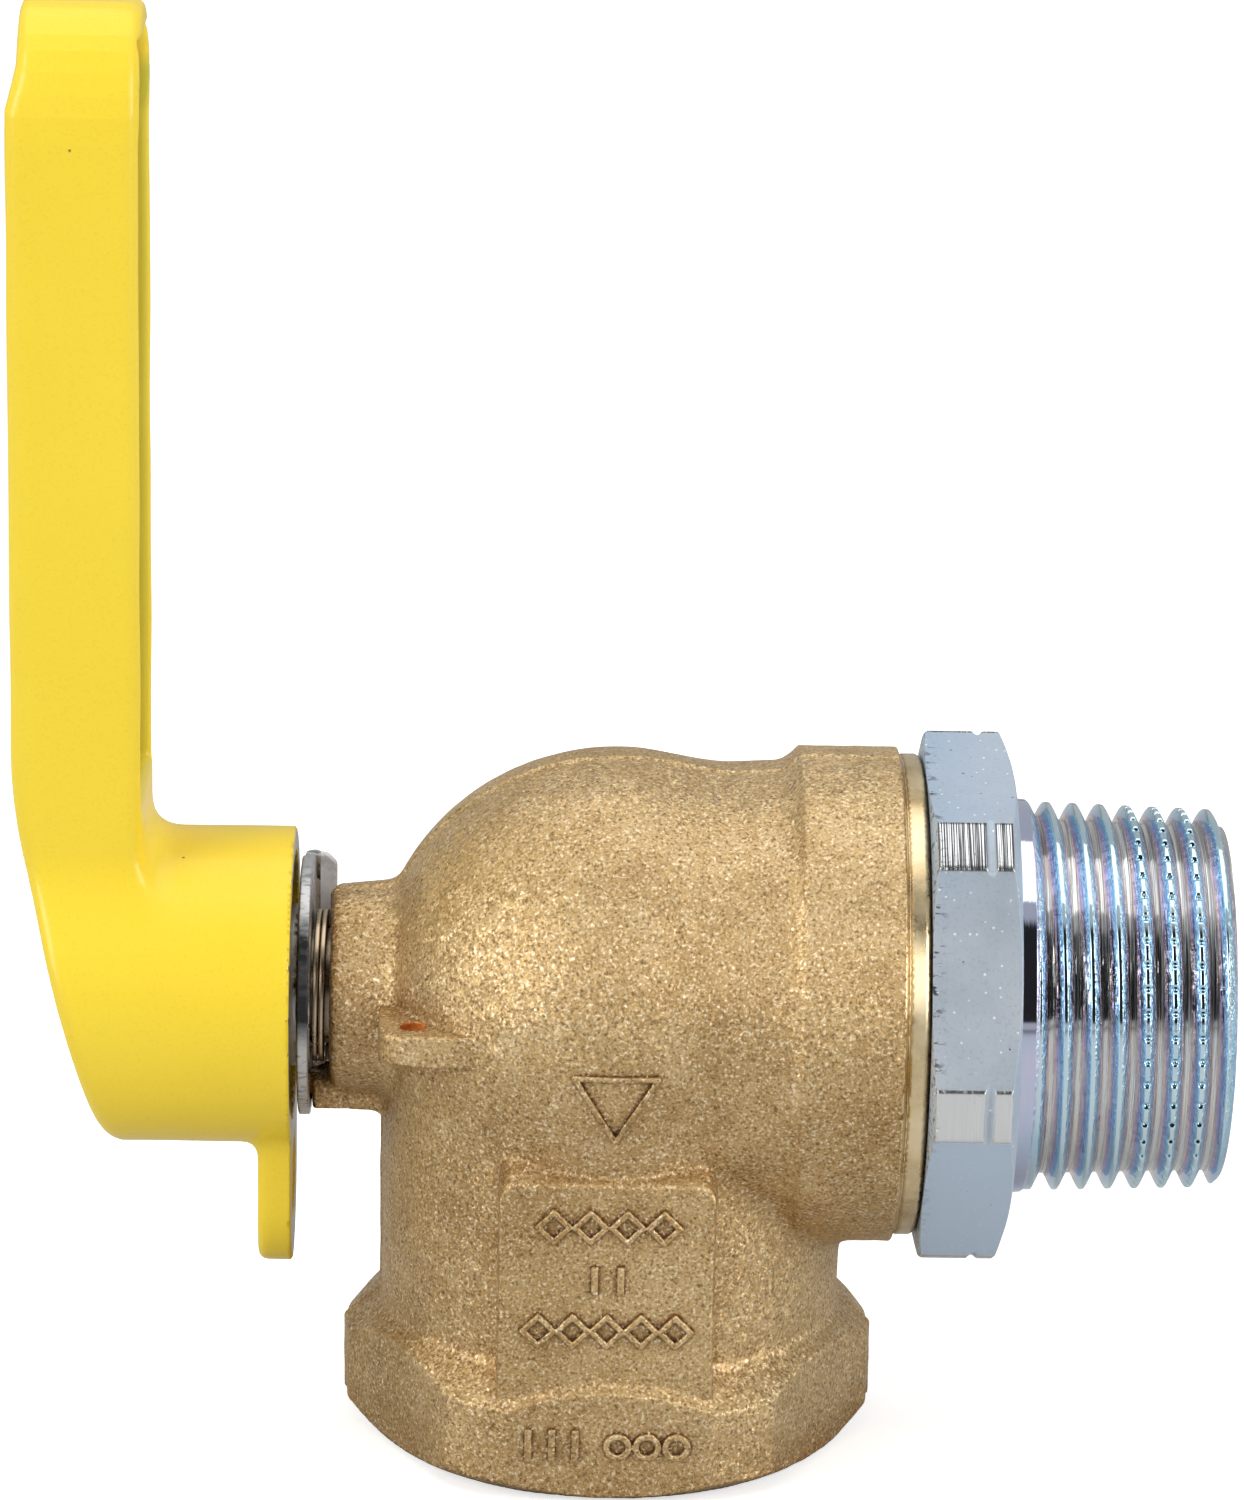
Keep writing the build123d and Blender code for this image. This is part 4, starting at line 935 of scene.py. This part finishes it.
def plate_field(x, y, z):
    """Disc with one squared corner bent up as a tab, a quarter-circle stop slot and the drive hole."""
    z = z - AXIS
    rx = np.sqrt(y * y + z * z)
    disc = rx - PLATE_R + 0.02 * waves(x * 0.3, y, z, 1.1, 12)
    square = np.maximum(np.abs(y - 4.9) - 4.95, np.abs(z - 5.5) - 3.5)
    blank = np.maximum(np.minimum(disc, square), y - TAB_Y)
    flat = smax(blank, np.maximum(PLATE_X0 - x, x - PLATE_X0 - PLATE_THICK), 0.22)
    tab = rbox(x, y, z, (PLATE_X0, TAB_Y - PLATE_THICK, 2.0), (PLATE_HI[0], TAB_Y, TAB_TOP), 0.22)
    tab = smax(tab, (x - PLATE_HI[0] + z - TAB_TOP + 0.9) * 0.7, 0.2)
    f = smin(flat, tab, 0.5)
    bend_x, bend_y = x - PLATE_X0 - TAB_BEND, y - TAB_Y + TAB_BEND
    bend = np.hypot(np.minimum(bend_x, 0), np.maximum(bend_y, 0)) - TAB_BEND
    f = np.maximum(f, np.where((bend_x < 0) & (bend_y > 0) & (z > 1.9), bend, -9))
    angle = np.degrees(np.arctan2(z, y))
    around = np.where(angle > 90, angle - 360, angle)
    wedge = np.maximum(around - SLOT_TO, SLOT_FROM - around)
    slot = np.maximum(np.abs(rx - SLOT_R) - SLOT_HALF, wedge * rx * math.pi / 180)
    f = np.maximum(f, -slot)
    return np.maximum(f, -np.maximum(rx - DRIVE_R, np.abs(z) - DRIVE_HALF))


def plate_pick(x, y, z):
    """0 on the flat, 1 on the sheared rim, 2 on the pressed tab."""
    rim = np.hypot(y, z - AXIS) > PLATE_R - 0.15
    return np.where(x > PLATE_X0 + 1.3, 2, np.where(rim, 1, 0))


plate = solid("stop_plate_pressed", plate_field, PLATE_LO, PLATE_HI, 0.16,
              [PLATE, SHEARED, TAB_PAINTED_LIGHT], plate_pick)
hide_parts("stop_plate")
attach(plate, "spindle")

# ------------------------------------------------------------------ spring washer
COIL_R, COIL_TURNS, COIL_PITCH, COIL_START = 5.9, 2.0, 0.55, math.radians(-72)
STRIP_HALF, STRIP_THICK, STRIP_EDGE = 0.70, 0.5, 0.14


def strip_section():
    """Rounded rectangle: offsets across the strip and through its thickness."""
    w, h, r = STRIP_HALF - STRIP_EDGE, STRIP_THICK / 2 - STRIP_EDGE, STRIP_EDGE
    points = []
    for cx, cy, first in ((w, h, 0), (-w, h, 90), (-w, -h, 180), (w, -h, 270)):
        for a in range(first, first + 91, 30):
            points.append((cx + r * math.cos(math.radians(a)), cy + r * math.sin(math.radians(a))))
    return np.array(points)


def shrunk(ring, factor):
    middle = ring.mean(1, keepdims=True)
    return middle + (ring - middle) * factor


def spring_mesh():
    """Strip wound twice round; its ends are closed by shrinking the section."""
    section = strip_section()
    around = np.linspace(0, COIL_TURNS * 2 * math.pi, 260)[:, None]
    r = COIL_R + section[None, :, 0]
    angle = COIL_START + around + 0 * r
    x = SPRING_LO[0] + STRIP_THICK / 2 + COIL_PITCH * around / (2 * math.pi) + section[None, :, 1]
    strip = np.stack([x, -r * np.cos(angle), AXIS + r * np.sin(angle)], -1)
    start, end = strip[:1], strip[-1:]
    grid = np.concatenate([shrunk(start, 0.02), shrunk(start, 0.8), strip,
                           shrunk(end, 0.8), shrunk(end, 0.02)])
    return loft("spring_coil", grid, [SPRING], closed=False)


spring = spring_mesh()
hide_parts("spring_washer")
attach(spring, "spindle")

# small CAD parts keep their shape, with broken edges
for node in ("stem", "handle_washer", "handle_lock_washer", "handle_screw", "inlet_seat_ring"):
    mod = frame["nodes"][node].modifiers.new("edges", "BEVEL")
    mod.width = 0.12 * MM
    mod.segments = 2
    mod.limit_method = "ANGLE"
    mod.angle_limit = math.radians(35)

# ------------------------------------------------------------------ floor, light and camera
FLOOR_COLOUR, FLOOR_GLOW, FLOOR_BOUNCE = 0.90, 0.62, 0.61


def floor_white():
    """Pale floor. The camera sees a faint glow; other rays meet a darker, unlit floor."""
    t = Tree("floor_white")
    base = t.ramp(t.noise(9, 2.0, 0.5), [(0.3, (FLOOR_COLOUR * 0.99,) * 3), (0.7, (FLOOR_COLOUR,) * 3)])
    seen = t.node("ShaderNodeLightPath").outputs["Is Camera Ray"]
    t.set(base=t.mix(seen, (FLOOR_BOUNCE,) * 3, base), rough=0.6, spec=0.2)
    t.put(t.b.inputs["Emission Color"], (1, 1, 1, 1))
    t.put(t.b.inputs["Emission Strength"], t.math("MULTIPLY", seen, FLOOR_GLOW))
    return t.m


bpy.ops.mesh.primitive_plane_add(size=6.0, location=(0, 0, -0.0004))
floor = bpy.context.object
floor.name = "floor"
floor.data.materials.append(floor_white())


def studio(bright, dark):
    """White room with a dark opening round the camera side, from the horizon to 60 degrees up."""
    world = bpy.data.worlds.new("studio")
    bpy.context.scene.world = world
    world.use_nodes = True
    tree = world.node_tree
    back = tree.nodes["Background"]

    def math_node(op, a, b=0.0):
        n = tree.nodes.new("ShaderNodeMath")
        n.operation = op
        for socket, value in zip(n.inputs, (a, b)):
            if hasattr(value, "is_output"):
                tree.links.new(value, socket)
            else:
                socket.default_value = value
        return n.outputs[0]

    def step(value, low, high):
        n = tree.nodes.new("ShaderNodeMapRange")
        n.interpolation_type = "SMOOTHSTEP"
        tree.links.new(value, n.inputs["Value"])
        n.inputs["From Min"].default_value, n.inputs["From Max"].default_value = low, high
        return n.outputs[0]

    ray = tree.nodes.new("ShaderNodeTexCoord").outputs["Generated"]
    parts = tree.nodes.new("ShaderNodeSeparateXYZ")
    tree.links.new(ray, parts.inputs[0])
    x, y, z = parts.outputs
    flat = math_node("SQRT", math_node("ADD", math_node("MULTIPLY", x, x), math_node("MULTIPLY", y, y)))
    ahead = math_node("DIVIDE", math_node("MULTIPLY", y, -1.0), math_node("MAXIMUM", flat, 0.001))
    opening = math_node("MULTIPLY", step(ahead, 0.70, 0.84), step(z, 0.04, 0.07))
    opening = math_node("MULTIPLY", opening, step(z, 0.89, 0.84))
    strength = math_node("SUBTRACT", bright, math_node("MULTIPLY", opening, bright - dark))
    back.inputs[0].default_value = (1.0, 1.0, 1.0, 1)
    tree.links.new(strength, back.inputs[1])


studio(0.46, 0.02)


def softbox(name, place, size, power):
    """Rectangular light that faces the middle of the body."""
    light = bpy.data.lights.new(name, "AREA")
    light.shape = "RECTANGLE"
    light.size, light.size_y = size
    light.energy = power
    ob = bpy.data.objects.new(name, light)
    bpy.context.scene.collection.objects.link(ob)
    ob.location = place
    ob.rotation_mode = "QUATERNION"
    ob.rotation_quaternion = (Vector((0, 0, AXIS * MM)) - Vector(place)).to_track_quat("-Z", "Y")
    return ob


def only_for(light, pieces):
    """Lets a light fall on these pieces alone."""
    group = bpy.data.collections.new(light.name + "_receivers")
    for piece in pieces:
        group.objects.link(piece)
    light.light_linking.receiver_collection = group


softbox("left", (-0.60, -0.40, 0.34), (0.35, 0.5), 2.7)
softbox("right", (0.62, -0.38, 0.30), (0.3, 0.5), 2.6)
softbox("top", (0.0, 0.10, 0.75), (1.3, 0.6), 2.9)
only_for(softbox("front", (0.08, -0.70, 0.40), (0.6, 0.35), 1.7), (body, marks, plate))
only_for(softbox("front_wide", (0.0, -0.62, 0.56), (1.6, 1.0), 1.9), (lever,))

CAMERA_DOWN, CAMERA_YAW, CAMERA_ROLL = math.radians(17.125), math.radians(-0.976), math.radians(1.174)
CAMERA_FAR, LENS = 0.52046, 146.076
AIM = Vector((0.24, 0, AXIS + 21.66)) * MM


def camera():
    """Looks along +Y and 17 degrees down at the aim point."""
    level_part, fall = math.cos(CAMERA_DOWN), math.sin(CAMERA_DOWN)
    look = Vector((math.sin(-CAMERA_YAW) * level_part, math.cos(CAMERA_YAW) * level_part, -fall))
    level = Vector((math.cos(CAMERA_YAW), math.sin(CAMERA_YAW), 0))
    above = level.cross(look)
    right = level * math.cos(CAMERA_ROLL) + above * math.sin(CAMERA_ROLL)
    up = above * math.cos(CAMERA_ROLL) - level * math.sin(CAMERA_ROLL)
    spot = AIM - look * CAMERA_FAR
    cam = bpy.data.cameras.new("camera")
    cam.sensor_width = 36.0
    cam.lens = LENS
    cam.clip_start, cam.clip_end = 0.01, 20
    ob = bpy.data.objects.new("camera", cam)
    bpy.context.scene.collection.objects.link(ob)
    ob.matrix_world = Matrix(((right.x, up.x, -look.x, spot.x), (right.y, up.y, -look.y, spot.y),
                              (right.z, up.z, -look.z, spot.z), (0, 0, 0, 1)))
    bpy.context.scene.camera = ob


camera()
bpy.context.scene.view_settings.view_transform = "Standard"
